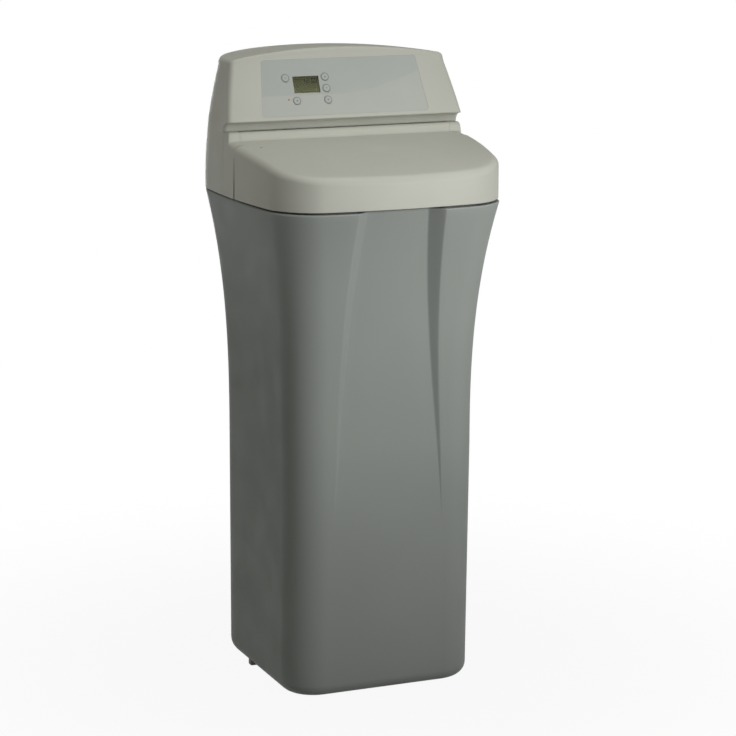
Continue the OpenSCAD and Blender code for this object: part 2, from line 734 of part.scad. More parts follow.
// control valve on the vessel's neck
flange_h = 8;
clamp_gap = 4;
clamp_t = 4;
clamp_r = neck_r + 8;
clamp_grip = neck_r - 3;
clamp_low = -neck_t - slide_gap;
clamp_high = flange_h + slide_gap;
clamp_mid = (clamp_low + clamp_high) / 2;
ear_len = 16;
ear_t = 6;
ear_x = clamp_r + 7;
bolt_r = 2.4;
bolt_head_r = 4.5;
bolt_head_t = 4;

// half of a channel ring that holds the two flanges together
module clamp_half(from) {
    color([0.16, 0.17, 0.18]) translate([0, vessel_y, neck_z]) difference() {
        union() {
            rotate([0, 0, from + 4]) rotate_extrude(angle = 172) polygon([[neck_r + slide_gap, clamp_low],
                [clamp_grip, clamp_low], [clamp_grip, clamp_low - clamp_t], [clamp_r, clamp_low - clamp_t],
                [clamp_r, clamp_high + clamp_t], [clamp_grip, clamp_high + clamp_t],
                [clamp_grip, clamp_high], [neck_r + slide_gap, clamp_high]]);
            for (s = [0, 180]) rotate([0, 0, from + s])
                translate([clamp_r - 3, s == 0 ? clamp_gap : -clamp_gap - ear_t, clamp_low])
                    cube([ear_len, ear_t, clamp_high - clamp_low]);
        }
        for (s = [0, 180]) rotate([0, 0, from + s]) translate([ear_x, -through / 2, clamp_mid])
            rotate([-90, 0, 0]) cylinder(r = bolt_r + slide_gap / 2, h = through);
    }
}

module clamp_half_front() {
    clamp_half(180);
}

module clamp_half_back() {
    clamp_half(0);
}

module clamp_screws() {
    seat = clamp_gap + ear_t;
    color([0.7, 0.71, 0.72]) for (s = [-1, 1])
        translate([s * ear_x, vessel_y, neck_z + clamp_mid]) rotate([-90, 0, 0]) {
            translate([0, 0, -seat - bolt_head_t]) cylinder(r = bolt_head_r, h = bolt_head_t);
            translate([0, 0, -seat]) cylinder(r = bolt_r, h = 2 * seat + bolt_head_t);
            translate([0, 0, seat]) cylinder(r = bolt_head_r, h = bolt_head_t, $fn = 6);
        }
}

seal_r = neck_r - 4;
seal_w = 4;
seal_t = 2;

module neck_seal() {
    color([0.08, 0.08, 0.08]) translate([0, vessel_y, neck_z]) difference() {
        cylinder(r = seal_r, h = seal_t);
        translate([0, 0, -cut]) cylinder(r = seal_r - seal_w, h = seal_t + 2 * cut);
    }
}

barrel_r = 40;
head_r = 62;
head_rise = 65;
head_z = neck_z + head_rise;
head_t = 12;
rotor_r = 42;
rotor_t = 6;
rotor_room = 2;
shaft_r = 7;
port_rise = 39;
port_z = neck_z + port_rise;
port_r = 19;
port_bore_r = 14;
port_len = 138;
port_end = vessel_y + port_len;
arm_rise = 37;
arm_z = neck_z + arm_rise;
arm_y = tube_y;
arm_r = 13;
venturi_r = 24;
socket_in = 2;
drain_in = 74;
drain_x = base_w / 2 - drain_in;
drain_bore_r = 7;
cap_screw_r = 2;
cap_screw_len = 9;
cap_head_r = 4;
cap_head_t = 3;
screw_ring_r = 53;
screw_angles = [15:60:315];
ring_spots = [for (a = screw_angles) [screw_ring_r * cos(a), screw_ring_r * sin(a), 0]];
lid_t = 10;

module valve_body() {
    color([0.17, 0.18, 0.19]) translate([0, vessel_y, 0]) difference() {
        union() {
            translate([0, 0, neck_z]) cylinder(r = neck_r, h = flange_h);
            translate([0, 0, neck_z]) cylinder(r = barrel_r, h = head_rise);
            translate([0, 0, head_z - head_t]) cylinder(r = head_r, h = head_t);
            for (s = [-1, 1]) translate([s * port_pitch / 2, 0, port_z]) rotate([-90, 0, 0])
                cylinder(r = port_r, h = port_end - vessel_y);
            translate([tube_x + venturi_r - socket_in, -tube_off, arm_z]) rotate([0, 90, 0])
                cylinder(r = arm_r, h = drain_x - tube_x - venturi_r + socket_in);
        }
        translate([0, 0, neck_z - cut]) cylinder(r = riser_r + slide_gap, h = riser_up + 2 * cut);
        translate([0, 0, neck_z - cut]) difference() {
            cylinder(r = seal_r + slide_gap, h = seal_t + cut);
            cylinder(r = seal_r - seal_w - slide_gap, h = seal_t + cut);
        }
        translate([0, 0, head_z - rotor_t - rotor_room]) cylinder(r = rotor_r + rotor_room, h = through);
        for (s = [-1, 1]) translate([s * port_pitch / 2, barrel_r, port_z]) rotate([-90, 0, 0])
            cylinder(r = port_bore_r, h = port_end);
        translate([drain_x - 20, -tube_off, arm_z]) rotate([0, 90, 0]) cylinder(r = drain_bore_r, h = 30);
        for (p = ring_spots) translate([p[0], p[1], head_z - cap_screw_len - cut])
            cylinder(r = cap_screw_r + 0.1, h = through);
    }
}

module valve_cover() {
    color([0.2, 0.21, 0.22]) translate([0, vessel_y, head_z]) difference() {
        cylinder(r = head_r, h = lid_t);
        translate([0, 0, -cut]) cylinder(r = shaft_r + slide_gap, h = lid_t + 2 * cut);
        for (p = ring_spots) translate(p - [0, 0, cut]) cylinder(r = cap_screw_r + 0.3, h = lid_t + 2 * cut);
    }
}

module valve_screws() {
    color([0.7, 0.71, 0.72]) for (p = ring_spots) translate(p + [0, vessel_y, head_z]) {
        translate([0, 0, lid_t]) cylinder(r = cap_head_r, h = cap_head_t);
        translate([0, 0, -cap_screw_len]) cylinder(r = cap_screw_r, h = lid_t + cap_screw_len + eps);
    }
}

gear_rise = 26;
gear_z = head_z + gear_rise;
gear_t = 6;
gear_teeth = 60;
pinion_teeth = 12;
gear_mod = 1.6;
gear_pitch_r = gear_teeth * gear_mod / 2;
pinion_pitch_r = pinion_teeth * gear_mod / 2;
mesh_angle = -45;
pinion_x = (gear_pitch_r + pinion_pitch_r) * cos(mesh_angle);
pinion_y = vessel_y + (gear_pitch_r + pinion_pitch_r) * sin(mesh_angle);

// spur gear outline with straight-sided teeth; the first tooth is centred on the start angle
module gear_outline(teeth, start) {
    rp = teeth * gear_mod / 2;
    step = 360 / teeth;
    polygon([for (i = [0:teeth - 1]) each [
        for (q = [[-0.34, -1.15], [-0.12, 0.75], [0.12, 0.75], [0.34, -1.15]])
            let (r = rp + q[1] * gear_mod, a = start + (i + q[0]) * step) [r * cos(a), r * sin(a)]]]);
}

module rotor_disc() {
    low = head_z - rotor_t - 1;
    color([0.85, 0.85, 0.82]) translate([0, vessel_y, low]) {
        cylinder(r = rotor_r, h = rotor_t);
        cylinder(r = shaft_r, h = gear_z + 2 * gear_t - low);
    }
}

hub_r = shaft_r + 5;
cam_r = 6;
cam_ring_r = 21;
cam_h = 3;
spoke_hole_r = 8;
spoke_ring_r = 28;

module cam_gear() {
    color([0.88, 0.87, 0.8]) translate([0, vessel_y, gear_z]) difference() {
        union() {
            linear_extrude(gear_t) gear_outline(gear_teeth, mesh_angle);
            translate([0, 0, -cam_h]) cylinder(r = hub_r, h = gear_t + 2 * cam_h);
            translate([cam_ring_r, 0, gear_t / 2]) cylinder(r = cam_r, h = gear_t / 2 + cam_h);
        }
        translate([0, 0, -gear_t]) cylinder(r = shaft_r, h = 4 * gear_t);
        for (a = [60:60:300]) rotate([0, 0, a]) translate([spoke_ring_r, 0, -1])
            cylinder(r = spoke_hole_r, h = gear_t + 2);
    }
}

pinion_up = 10;
motor_shaft_r = 2.5;

module drive_pinion() {
    color([0.88, 0.87, 0.8]) translate([pinion_x, pinion_y, gear_z - cut]) {
        linear_extrude(gear_t + 2 * cut) gear_outline(pinion_teeth, mesh_angle + 180 + 180 / pinion_teeth);
        cylinder(r = motor_shaft_r, h = gear_t + pinion_up + 6 * cut);
    }
}

plate_rise = 4;
bracket_z = gear_z + gear_t + plate_rise;
plate_h = 3;
plate_hole_r = 34;
motor_r = 22;
motor_h = 20;
motor_cap_r = 9;
motor_cap_h = 4;
post_r = 4;
post_ring_r = 57.5;
post_edge = 1.5;
post_angles = [-5, -95, 165];

module motor_bracket() {
    foot_z = head_z + lid_t;
    color([0.23, 0.24, 0.25]) difference() {
        union() {
            for (a = post_angles) translate([post_ring_r * cos(a), vessel_y + post_ring_r * sin(a), foot_z])
                cylinder(r = post_r, h = bracket_z - foot_z + eps);
            translate([0, vessel_y, bracket_z]) cylinder(r = post_ring_r + post_r + post_edge, h = plate_h);
            translate([pinion_x, pinion_y, bracket_z]) cylinder(r = motor_r + 2, h = plate_h);
        }
        translate([0, vessel_y, bracket_z - cut]) cylinder(r = plate_hole_r, h = plate_h + 2 * cut);
        translate([pinion_x, pinion_y, bracket_z - cut])
            cylinder(r = motor_shaft_r + cut, h = plate_h + 2 * cut);
    }
}

module valve_motor() {
    color([0.6, 0.61, 0.62]) translate([pinion_x, pinion_y, bracket_z + plate_h]) difference() {
        union() {
            cylinder(r = motor_r, h = motor_h);
            translate([0, 0, motor_h - cut]) cylinder(r = motor_cap_r, h = motor_cap_h);
        }
        translate([0, 0, -cut]) cylinder(r = motor_shaft_r + run_fit, h = motor_h / 2 + cut);
    }
}

position_w = 20;
position_t = 7;
position_h = 10;
lever_w = 3;
lever_t = 2;
lever_len = 6;

module position_switch() {
    color([0.12, 0.12, 0.13])
        translate([-position_w / 2, vessel_y + plate_hole_r + cut, bracket_z + plate_h]) {
            cube([position_w, position_t, position_h]);
            translate([lever_len, -lever_len, 0]) cube([lever_w, lever_len + eps, lever_t]);
            translate([lever_len, -lever_len, -lever_len]) cube([lever_w, lever_t, lever_len + eps]);
        }
}

// venturi that draws brine
venturi_h = 40;
venturi_z0 = arm_z - venturi_h / 2;
venturi_wall = 6;
nozzle_room = 10;
nozzle_h = 6;
nozzle_bore_r = 1.5;
tube_in_h = 12;
cap_over = 2;
cap_h = 9;
rib_w = 3;

module venturi_housing() {
    color([0.17, 0.18, 0.19]) translate([tube_x, arm_y, venturi_z0]) difference() {
        cylinder(r = venturi_r, h = venturi_h);
        translate([0, 0, venturi_h - nozzle_room])
            cylinder(r = venturi_r - venturi_wall, h = nozzle_room + cut);
        translate([0, 0, -cut]) cylinder(r = tube_r + run_fit, h = tube_in_h + cut);
        translate([venturi_r - socket_in, 0, venturi_h / 2]) rotate([0, 90, 0])
            cylinder(r = arm_r + 1, h = nozzle_room);
    }
}

module venturi_nozzle() {
    color([0.75, 0.2, 0.15]) translate([tube_x, arm_y, venturi_z0 + venturi_h - nozzle_room]) difference() {
        cylinder(r = venturi_r - venturi_wall - gap, h = nozzle_h);
        translate([0, 0, -cut]) cylinder(r = nozzle_bore_r, h = nozzle_h + 2 * cut);
    }
}

module venturi_cap() {
    color([0.2, 0.21, 0.22]) translate([tube_x, arm_y, venturi_z0 + venturi_h]) {
        cylinder(r = venturi_r + cap_over, h = cap_h);
        for (a = [0:30:330]) rotate([0, 0, a]) translate([venturi_r + cap_over - 1, -rib_w / 2, 0])
            cube([rib_w, rib_w, cap_h]);
    }
}

// flow meter in the outlet
turbine_y = vessel_y + 86;
turbine_r = 10;
turbine_len = 16;
turbine_hub_r = 4;
blade_t = 1.6;
pivot_r = 1.5;
pivot_len = 6;
support_t = 4;
support_rim = 2;

module turbine() {
    color([0.9, 0.9, 0.86]) translate([port_pitch / 2, turbine_y, port_z]) rotate([-90, 0, 0]) {
        cylinder(r = turbine_hub_r, h = turbine_len);
        translate([0, 0, -pivot_len]) cylinder(r = pivot_r, h = turbine_len + 2 * pivot_len);
        for (a = [0:60:300]) rotate([0, 0, a]) translate([turbine_hub_r - cut, -blade_t / 2, cut])
            cube([turbine_r - turbine_hub_r + cut, blade_t, turbine_len - 2 * cut]);
    }
}

module turbine_support() {
    color([0.8, 0.8, 0.78]) for (y = [turbine_y - pivot_len, turbine_y + turbine_len + pivot_len - support_t])
        translate([port_pitch / 2, y, port_z]) rotate([-90, 0, 0]) difference() {
            union() {
                cylinder(r = turbine_hub_r, h = support_t);
                difference() {
                    cylinder(r = port_bore_r - run_fit, h = support_t);
                    translate([0, 0, -cut]) cylinder(r = port_bore_r - support_rim, h = support_t + 2 * cut);
                }
                for (a = [0:120:240]) rotate([0, 0, a + 30]) translate([turbine_hub_r - cut, -cut, 0])
                    cube([port_bore_r - turbine_hub_r, 2 * cut, support_t]);
            }
            translate([0, 0, -cut]) cylinder(r = pivot_r + run_fit, h = support_t + 2 * cut);
        }
}

// bypass valve behind the cabinet
bypass_y = port_end + 36;
bypass_r = 22;
bypass_bore_r = 16;
bypass_half = 64;
stub_r = port_bore_r - 0.3;
stub_in = port_end - 16;
water_len = 92;
water_end = port_end + water_len;
water_bore_r = 11;
nut_over = 3;
nut_len = 28;
clip_y = port_end + 2;
clip_t = 3;
clip_over = 3;
collar_len = 20;
groove_in = 4;
groove_w = 3;
groove_d = 2;

module bypass_body() {
    color([0.14, 0.15, 0.16]) difference() {
        union() {
            translate([-bypass_half, bypass_y, port_z]) rotate([0, 90, 0])
                cylinder(r = bypass_r, h = 2 * bypass_half);
            for (s = [-1, 1]) translate([s * port_pitch / 2, 0, port_z]) rotate([-90, 0, 0]) {
                translate([0, 0, stub_in]) cylinder(r = stub_r, h = bypass_y - stub_in);
                translate([0, 0, clip_y + clip_t + slide_gap]) cylinder(r = port_r, h = collar_len);
                translate([0, 0, bypass_y]) cylinder(r = thread_d / 2, h = water_end - bypass_y);
                translate([0, 0, bypass_y]) cylinder(r = thread_d / 2 + nut_over, h = nut_len);
            }
        }
        translate([-bypass_half - cut, bypass_y, port_z]) rotate([0, 90, 0])
            cylinder(r = bypass_bore_r, h = 2 * bypass_half + 2 * cut);
        for (s = [-1, 1]) translate([s * port_pitch / 2, stub_in, port_z]) rotate([-90, 0, 0]) {
            translate([0, 0, -cut]) cylinder(r = water_bore_r - 1, h = bypass_y - stub_in);
            translate([0, 0, bypass_y - stub_in - cut]) cylinder(r = water_bore_r, h = water_end);
            translate([0, 0, groove_in]) difference() {
                cylinder(r = stub_r + cut, h = groove_w);
                cylinder(r = stub_r - groove_d, h = groove_w);
            }
        }
    }
}

module port_seals() {
    color([0.08, 0.08, 0.08]) for (s = [-1, 1])
        translate([s * port_pitch / 2, stub_in + groove_in, port_z]) rotate([-90, 0, 0]) difference() {
            cylinder(r = port_bore_r - run_fit, h = groove_w);
            translate([0, 0, -cut]) cylinder(r = stub_r - groove_d, h = groove_w + 2 * cut);
        }
}

module port_clips() {
    half = port_r + clip_over;
    slot_r = stub_r + slide_gap;
    color([0.75, 0.76, 0.78]) for (s = [-1, 1])
        translate([s * port_pitch / 2, clip_y + clip_t, port_z]) rotate([90, 0, 0]) linear_extrude(clip_t)
            difference() {
                translate([-half, clip_over - port_r]) square([2 * half, 2 * port_r]);
                circle(slot_r);
                translate([-slot_r, -through / 2]) square([2 * slot_r, through / 2]);
            }
}

knob_r = 19;
knob_t = 10;
knob_gap = 4;
land_w = 12;
land_d = 5;

module bypass_spool() {
    r = bypass_bore_r - slide_gap;
    left = bypass_half + spool_travel + knob_gap;
    right = bypass_half + knob_gap;
    lands = [land_w / 2 - bypass_half, -10, bypass_half - 1.5 * land_w];
    color([0.2, 0.35, 0.6]) translate([0, bypass_y, port_z]) rotate([0, 90, 0]) {
        translate([0, 0, -left]) cylinder(r = r - land_d, h = left + right);
        for (x = lands) translate([0, 0, x]) cylinder(r = r, h = land_w);
        translate([0, 0, -left - knob_t]) cylinder(r = knob_r, h = knob_t);
        translate([0, 0, right]) cylinder(r = knob_r, h = knob_t);
    }
}

// hose barbs: a plain tip, then rings that grip the hose
barb_r = barb_d / 2;
barb_wall = 2.5;
barb_collar = 6;
barb_tip = 12;
ring_over = 1.2;
ring_len = 5;
ring_pitch = 7;

module hose_barb(length) {
    difference() {
        union() {
            cylinder(r = barb_r, h = length);
            cylinder(r = barb_r + barb_wall, h = barb_collar);
            for (k = [0, 1]) translate([0, 0, length - barb_tip - ring_len - k * ring_pitch])
                cylinder(r1 = barb_r + ring_over, r2 = barb_r, h = ring_len);
        }
        translate([0, 0, -cut]) cylinder(r = barb_r - barb_wall, h = length + 2 * cut);
    }
}

// drain outlet of the valve
drain_len = 46;
drain_block_r = 10;
drain_block = 20;
drain_plug = 14;

module drain_elbow() {
    color([0.15, 0.16, 0.17]) translate([drain_x, arm_y, arm_z]) {
        translate([cut, 0, 0]) rotate([0, 90, 0]) cylinder(r = drain_block_r, h = drain_block);
        translate([-drain_plug, 0, 0]) rotate([0, 90, 0])
            cylinder(r = drain_bore_r - run_fit, h = drain_plug + 2 * cut);
        translate([cut + drain_block / 2, 8, 0]) rotate([-90, 0, 0]) hose_barb(drain_len);
    }
}

drain_clip_w = 5;
drain_clip_t = 2.5;

module drain_clip() {
    color([0.75, 0.76, 0.78]) translate([drain_x - 8, arm_y, arm_z]) rotate([0, 90, 0]) difference() {
        cylinder(r = arm_r + drain_clip_t, h = drain_clip_w);
        translate([0, 0, -cut]) cylinder(r = arm_r, h = drain_clip_w + 2 * cut);
        translate([0, -8, -cut]) cube([through, 16, drain_clip_w + 2 * cut]);
    }
}

// brine well at the front left of the tank
well_x = tube_x;
well_r = well_d / 2;
well_wall = 2.5;
well_hole_r = 4;
well_gap = 10;
well_y = hatch_back - well_gap - well_r;
well_z0 = floor_t;
well_top = 18;
well_h = tank_h - well_top - floor_t;
run_drop = 42;
run_z = tank_h - run_drop;
bend_r = 22;

module brinewell() {
    color([0.86, 0.86, 0.82]) translate([well_x, well_y, well_z0]) difference() {
        cylinder(r = well_r, h = well_h);
        translate([0, 0, -cut]) cylinder(r = well_r - well_wall, h = well_h + 2 * cut);
        for (z = [20:24:92], a = [0:60:300]) rotate([0, 0, a]) translate([well_r - 4 * well_wall, 0, z])
            rotate([0, 90, 0]) cylinder(r = well_hole_r, h = 8 * well_wall);
        translate([0, 0, run_z - well_z0]) rotate([-90, 0, 0]) cylinder(r = tube_r + 1, h = through);
    }
}

well_cap_t = 4;
well_cap_h = 12;
well_grip_r = 14;

module brinewell_cap() {
    skirt = well_cap_h - well_cap_t;
    color([0.3, 0.31, 0.31]) translate([well_x, well_y, well_z0 + well_h]) difference() {
        translate([0, 0, -skirt]) cylinder(r = well_r + well_cap_t, h = well_cap_h);
        translate([0, 0, -skirt - cut]) cylinder(r = well_r + slide_gap, h = skirt + cut);
        translate([0, 0, well_cap_t / 2]) cylinder(r = well_grip_r, h = well_cap_t);
    }
}

// quarter bend of the tube
module bend() {
    rotate_extrude(angle = 90) translate([bend_r, 0]) circle(tube_r);
}

tube_low = 66;

module brine_tube() {
    color([0.9, 0.9, 0.88]) translate([tube_x, 0, 0]) union() {
        translate([0, tube_y, run_z + bend_r])
            cylinder(r = tube_r, h = venturi_z0 + nozzle_room - run_z - bend_r);
        translate([0, tube_y - bend_r, run_z + bend_r]) rotate([0, 90, 0]) bend();
        translate([0, well_y + bend_r, run_z]) rotate([-90, 0, 0])
            cylinder(r = tube_r, h = tube_y - well_y - 2 * bend_r);
        translate([0, well_y + bend_r, run_z - bend_r]) rotate([0, -90, 0]) rotate([0, 0, -90]) bend();
        translate([0, well_y, tube_low]) cylinder(r = tube_r, h = run_z - bend_r - tube_low);
    }
}

foot_r = 30;
foot_t = 6;
stem_body_r = 16;
stem_body_h = 70;
collar_r = 20;
collar_z = 40;
collar_h = 12;
chamber_r = 9;
chamber_z = 12;
chamber_h = 14;
inlet_r = 3;

module brine_valve() {
    color([0.2, 0.21, 0.22]) translate([well_x, well_y, floor_t]) difference() {
        union() {
            cylinder(r = foot_r, h = foot_t);
            cylinder(r = stem_body_r, h = stem_body_h);
            translate([0, 0, collar_z]) cylinder(r = collar_r, h = collar_h);
        }
        translate([0, 0, tube_low - floor_t]) cylinder(r = tube_r, h = stem_body_h);
        translate([0, 0, chamber_z]) cylinder(r = chamber_r, h = chamber_h);
        for (a = [0:60:300]) rotate([0, 0, a]) translate([chamber_r / 2, 0, chamber_z + chamber_h / 2])
            rotate([0, 90, 0]) cylinder(r = inlet_r, h = collar_r);
    }
}

float_z = 210;
float_h = 40;
stop_r = 12;
stop_h = 8;
stop_gap = 1;

module float_ring() {
    color([0.93, 0.93, 0.9]) translate([well_x, well_y, float_z]) difference() {
        cylinder(r = float_d / 2, h = float_h);
        translate([0, 0, -cut]) cylinder(r = tube_r + slide_gap, h = float_h + 2 * cut);
    }
}

module float_stops() {
    color([0.3, 0.31, 0.31])
        for (z = [float_z - stop_gap - stop_h, float_z + float_h + float_travel + stop_gap])
            translate([well_x, well_y, z]) difference() {
                cylinder(r = stop_r, h = stop_h);
                translate([0, 0, -cut]) cylinder(r = tube_r, h = stop_h + 2 * cut);
            }
}

// overflow outlet on the back of the tank
over_in = overflow_y - tank_wall - overflow_in;
over_out = overflow_y + overflow_proud;
grommet_r = overflow_hole_r - run_fit;
grommet_over = 4;
elbow_r = 8;
elbow_tail = 10;
elbow_out = 14;
elbow_block_r = 10;
elbow_block = 12;
elbow_len = 36;

module overflow_grommet() {
    length = over_out - over_in;
    color([0.1, 0.1, 0.1]) translate([overflow_x, over_in, overflow_z]) rotate([-90, 0, 0]) difference() {
        union() {
            translate([0, 0, -grommet_over])
                cylinder(r = overflow_hole_r + grommet_over, h = grommet_over - gap / 2);
            translate([0, 0, -grommet_over]) cylinder(r = grommet_r, h = length + grommet_over);
            translate([0, 0, length]) cylinder(r = overflow_hole_r + grommet_over, h = 3);
        }
        translate([0, 0, -through / 2]) cylinder(r = elbow_r, h = through);
    }
}

module overflow_elbow() {
    color([0.15, 0.16, 0.17]) translate([overflow_x, 0, overflow_z]) {
        translate([0, over_in - elbow_tail, 0]) rotate([-90, 0, 0])
            cylinder(r = elbow_r, h = over_out - over_in + elbow_tail + elbow_out);
        translate([0, over_out + elbow_out, 0]) rotate([-90, 0, 0])
            cylinder(r = elbow_block_r, h = elbow_block);
        translate([0, over_out + elbow_out + 2, -elbow_block / 2]) rotate([180, 0, 0]) hose_barb(elbow_len);
    }
}

salt_tank();
rim_deck();
top_cover();
salt_lid();
lid_hinge_bar();
hinge_bracket_left();
hinge_bracket_right();
faceplate();
display_window();
lcd_module();
button_left();
button_up();
button_select();
button_down();
button_recharge();
tact_switches();
control_board();
board_housing();
board_screws();
resin_tank();
tank_boot();
resin_bed();
riser_tube();
bottom_distributor();
top_distributor();
clamp_half_front();
clamp_half_back();
clamp_screws();
neck_seal();
valve_body();
valve_cover();
valve_screws();
rotor_disc();
cam_gear();
drive_pinion();
valve_motor();
motor_bracket();
position_switch();
venturi_housing();
venturi_nozzle();
venturi_cap();
turbine();
turbine_support();
port_clips();
port_seals();
bypass_body();
bypass_spool();
drain_elbow();
drain_clip();
brinewell();
brinewell_cap();
brine_tube();
brine_valve();
float_ring();
float_stops();
overflow_grommet();
overflow_elbow();
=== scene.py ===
import json
import math

import bmesh
import bpy
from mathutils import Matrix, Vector


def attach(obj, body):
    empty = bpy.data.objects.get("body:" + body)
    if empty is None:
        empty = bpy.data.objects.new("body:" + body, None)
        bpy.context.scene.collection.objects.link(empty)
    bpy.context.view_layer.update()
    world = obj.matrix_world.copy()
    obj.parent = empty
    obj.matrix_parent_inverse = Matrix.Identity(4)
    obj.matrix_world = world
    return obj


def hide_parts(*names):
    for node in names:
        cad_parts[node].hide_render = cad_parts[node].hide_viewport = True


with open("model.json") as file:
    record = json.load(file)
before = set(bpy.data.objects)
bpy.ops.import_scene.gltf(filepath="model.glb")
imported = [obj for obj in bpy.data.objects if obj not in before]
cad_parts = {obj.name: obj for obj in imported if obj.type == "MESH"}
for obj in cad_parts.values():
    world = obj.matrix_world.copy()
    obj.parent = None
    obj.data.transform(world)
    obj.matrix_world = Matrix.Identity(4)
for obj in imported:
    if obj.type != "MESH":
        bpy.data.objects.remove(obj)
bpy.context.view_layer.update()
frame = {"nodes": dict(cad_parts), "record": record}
scene = bpy.context.scene
MM = 0.001


# Cabinet outline in millimetres, from the same values as the part's source
TANK_H = 850
FLARE_Z, FLARE_POW = 425, 2.6
BASE_W, BASE_D = 173, 201
SIDE_FLARE, FRONT_FLARE, BACK_FLARE = 28, 43, 31
FRONT_DRAFT, BACK_DRAFT = 13, 4
SIDE_BOW, FRONT_BOW, COVER_BOW = 15.5, 20, 22
FRONT_R, BACK_R, BACK_R_GROWTH = 62, 108, 30
FOOT_R, RIM_R, RIM_IN, WALL = 22, 3, 16, 4
RECESS_Z, RECESS_X, RECESS_CLOSE = 300, 101, 23
FACET_W, RECESS_D = 23, 23
OVERFLOW_X, OVERFLOW_Z = -45, 775
SKIRT_Z, SKIRT_FRONT_Z = 853.5, 855.3
SEAM_Y, GROOVE_Y, GROOVE_D = -60, -55, 8
NOTCH_X = 195
LID_TIP_Y, LID_TIP_Z, LID_RUN = -274, 906.5, 250
LID_SLOPE = math.radians(9.1)
LID_CROWN, LID_R, LID_WALL = 6.3, 12, 2.6
LID_MID_Y, LID_REAR = -149, -24
HINGE_Y, HINGE_Z = -19, 956.5
PIN_R, PIN_BORE_R = 3, 3.4
BULKHEAD_Y = -3
RIM_W, RIM_F, RIM_B = 198, 254, 225
MID, HALF = (RIM_B - RIM_F) / 2, (RIM_B + RIM_F) / 2
TILT = math.radians(22.3)
LIP_Y, LIP_Z, LIP_FLARE = -27.4, 982.6, 5.3
TOP_Z, TOP_R, CROWN_DROP, CROWN_MID_Y = 1098, 8, 17.5, 110
SIDE_LEAN, BACK_LEAN, COVER_BACK_R, SKIN = 19.5, 28, 138, 3


def clamp01(v):
    return max(0.0, min(1.0, v))


def lerp(a, b, t):
    return a + (b - a) * t


def flare(z):
    return clamp01((z - FLARE_Z) / (TANK_H - FLARE_Z)) ** FLARE_POW


def half_w(z):
    return BASE_W + SIDE_FLARE * flare(z)


def half_f(z):
    return BASE_D + FRONT_DRAFT * clamp01(z / FLARE_Z) + FRONT_FLARE * flare(z)


def half_b(z):
    return BASE_D - BACK_DRAFT * clamp01(z / FLARE_Z) + BACK_FLARE * flare(z)


def arc(cx, cy, r, start, n):
    return [(cx + r * math.cos(math.radians(start + 90 * i / n)),
             cy + r * math.sin(math.radians(start + 90 * i / n))) for i in range(n)]


def line(p, q, n):
    return [(lerp(p[0], q[0], i / n), lerp(p[1], q[1], i / n)) for i in range(n)]


def bowed(p, w, f, b, front, side):
    mid, half = (b - f) / 2, (b + f) / 2
    rise = 1 - ((p[1] - mid) / half) ** 2
    return (p[0] + side * p[0] / w * rise, p[1] - front * (1 - (p[0] / w) ** 2) * max(0, -p[1] / f))


# Mesh making
def make_object(name, bm, sharp=35):
    mesh = bpy.data.meshes.new(name)
    bmesh.ops.recalc_face_normals(bm, faces=bm.faces)
    for face in bm.faces:
        face.smooth = True
    bm.to_mesh(mesh)
    bm.free()
    mesh.set_sharp_from_angle(angle=math.radians(sharp))
    obj = bpy.data.objects.new(name, mesh)
    scene.collection.objects.link(obj)
    return obj


def add_loft(bm, rings, cap=True):
    """Closed skin through rings of points in millimetres."""
    rows = [[bm.verts.new(Vector(p) * MM) for p in ring] for ring in rings]
    n = len(rows[0])
    for low, high in zip(rows, rows[1:]):
        for i in range(n):
            j = (i + 1) % n
            bm.faces.new((low[i], low[j], high[j], high[i]))
    if cap:
        bm.faces.new(list(reversed(rows[0])))
        bm.faces.new(rows[-1])


def add_prism(bm, outline, x0, x1):
    """Outline in (y, z) drawn along X, with closed ends."""
    add_loft(bm, [[(x, y, z) for y, z in outline] for x in (x0, x1)])


def add_rod(bm, start, end, r, n=24):
    a, b = Vector(start), Vector(end)
    side = (b - a).orthogonal().normalized()
    up = (b - a).normalized().cross(side)
    turn = [2 * math.pi * k / n for k in range(n)]
    add_loft(bm, [[p + r * (math.cos(t) * side + math.sin(t) * up) for t in turn] for p in (a, b)])


def cut_with(obj, make):
    """Cuts a solid, made by a function that fills a bmesh, out of an object."""
    bm = bmesh.new()
    make(bm)
    tool = make_object("cutter", bm)
    mod = obj.modifiers.new("cut", "BOOLEAN")
    mod.operation = "DIFFERENCE"
    mod.solver = "EXACT"
    mod.object = tool
    bpy.context.view_layer.update()
    done = bpy.data.meshes.new_from_object(obj.evaluated_get(bpy.context.evaluated_depsgraph_get()))
    obj.modifiers.clear()
    old = obj.data
    obj.data = done
    bpy.data.meshes.remove(old)
    bpy.data.objects.remove(tool)
    done.set_sharp_from_angle(angle=math.radians(35))


# Procedural materials
def linear(srgb):
    return tuple((c / 255 / 12.92) if c <= 10 else ((c / 255 + 0.055) / 1.055) ** 2.4 for c in srgb) + (1,)


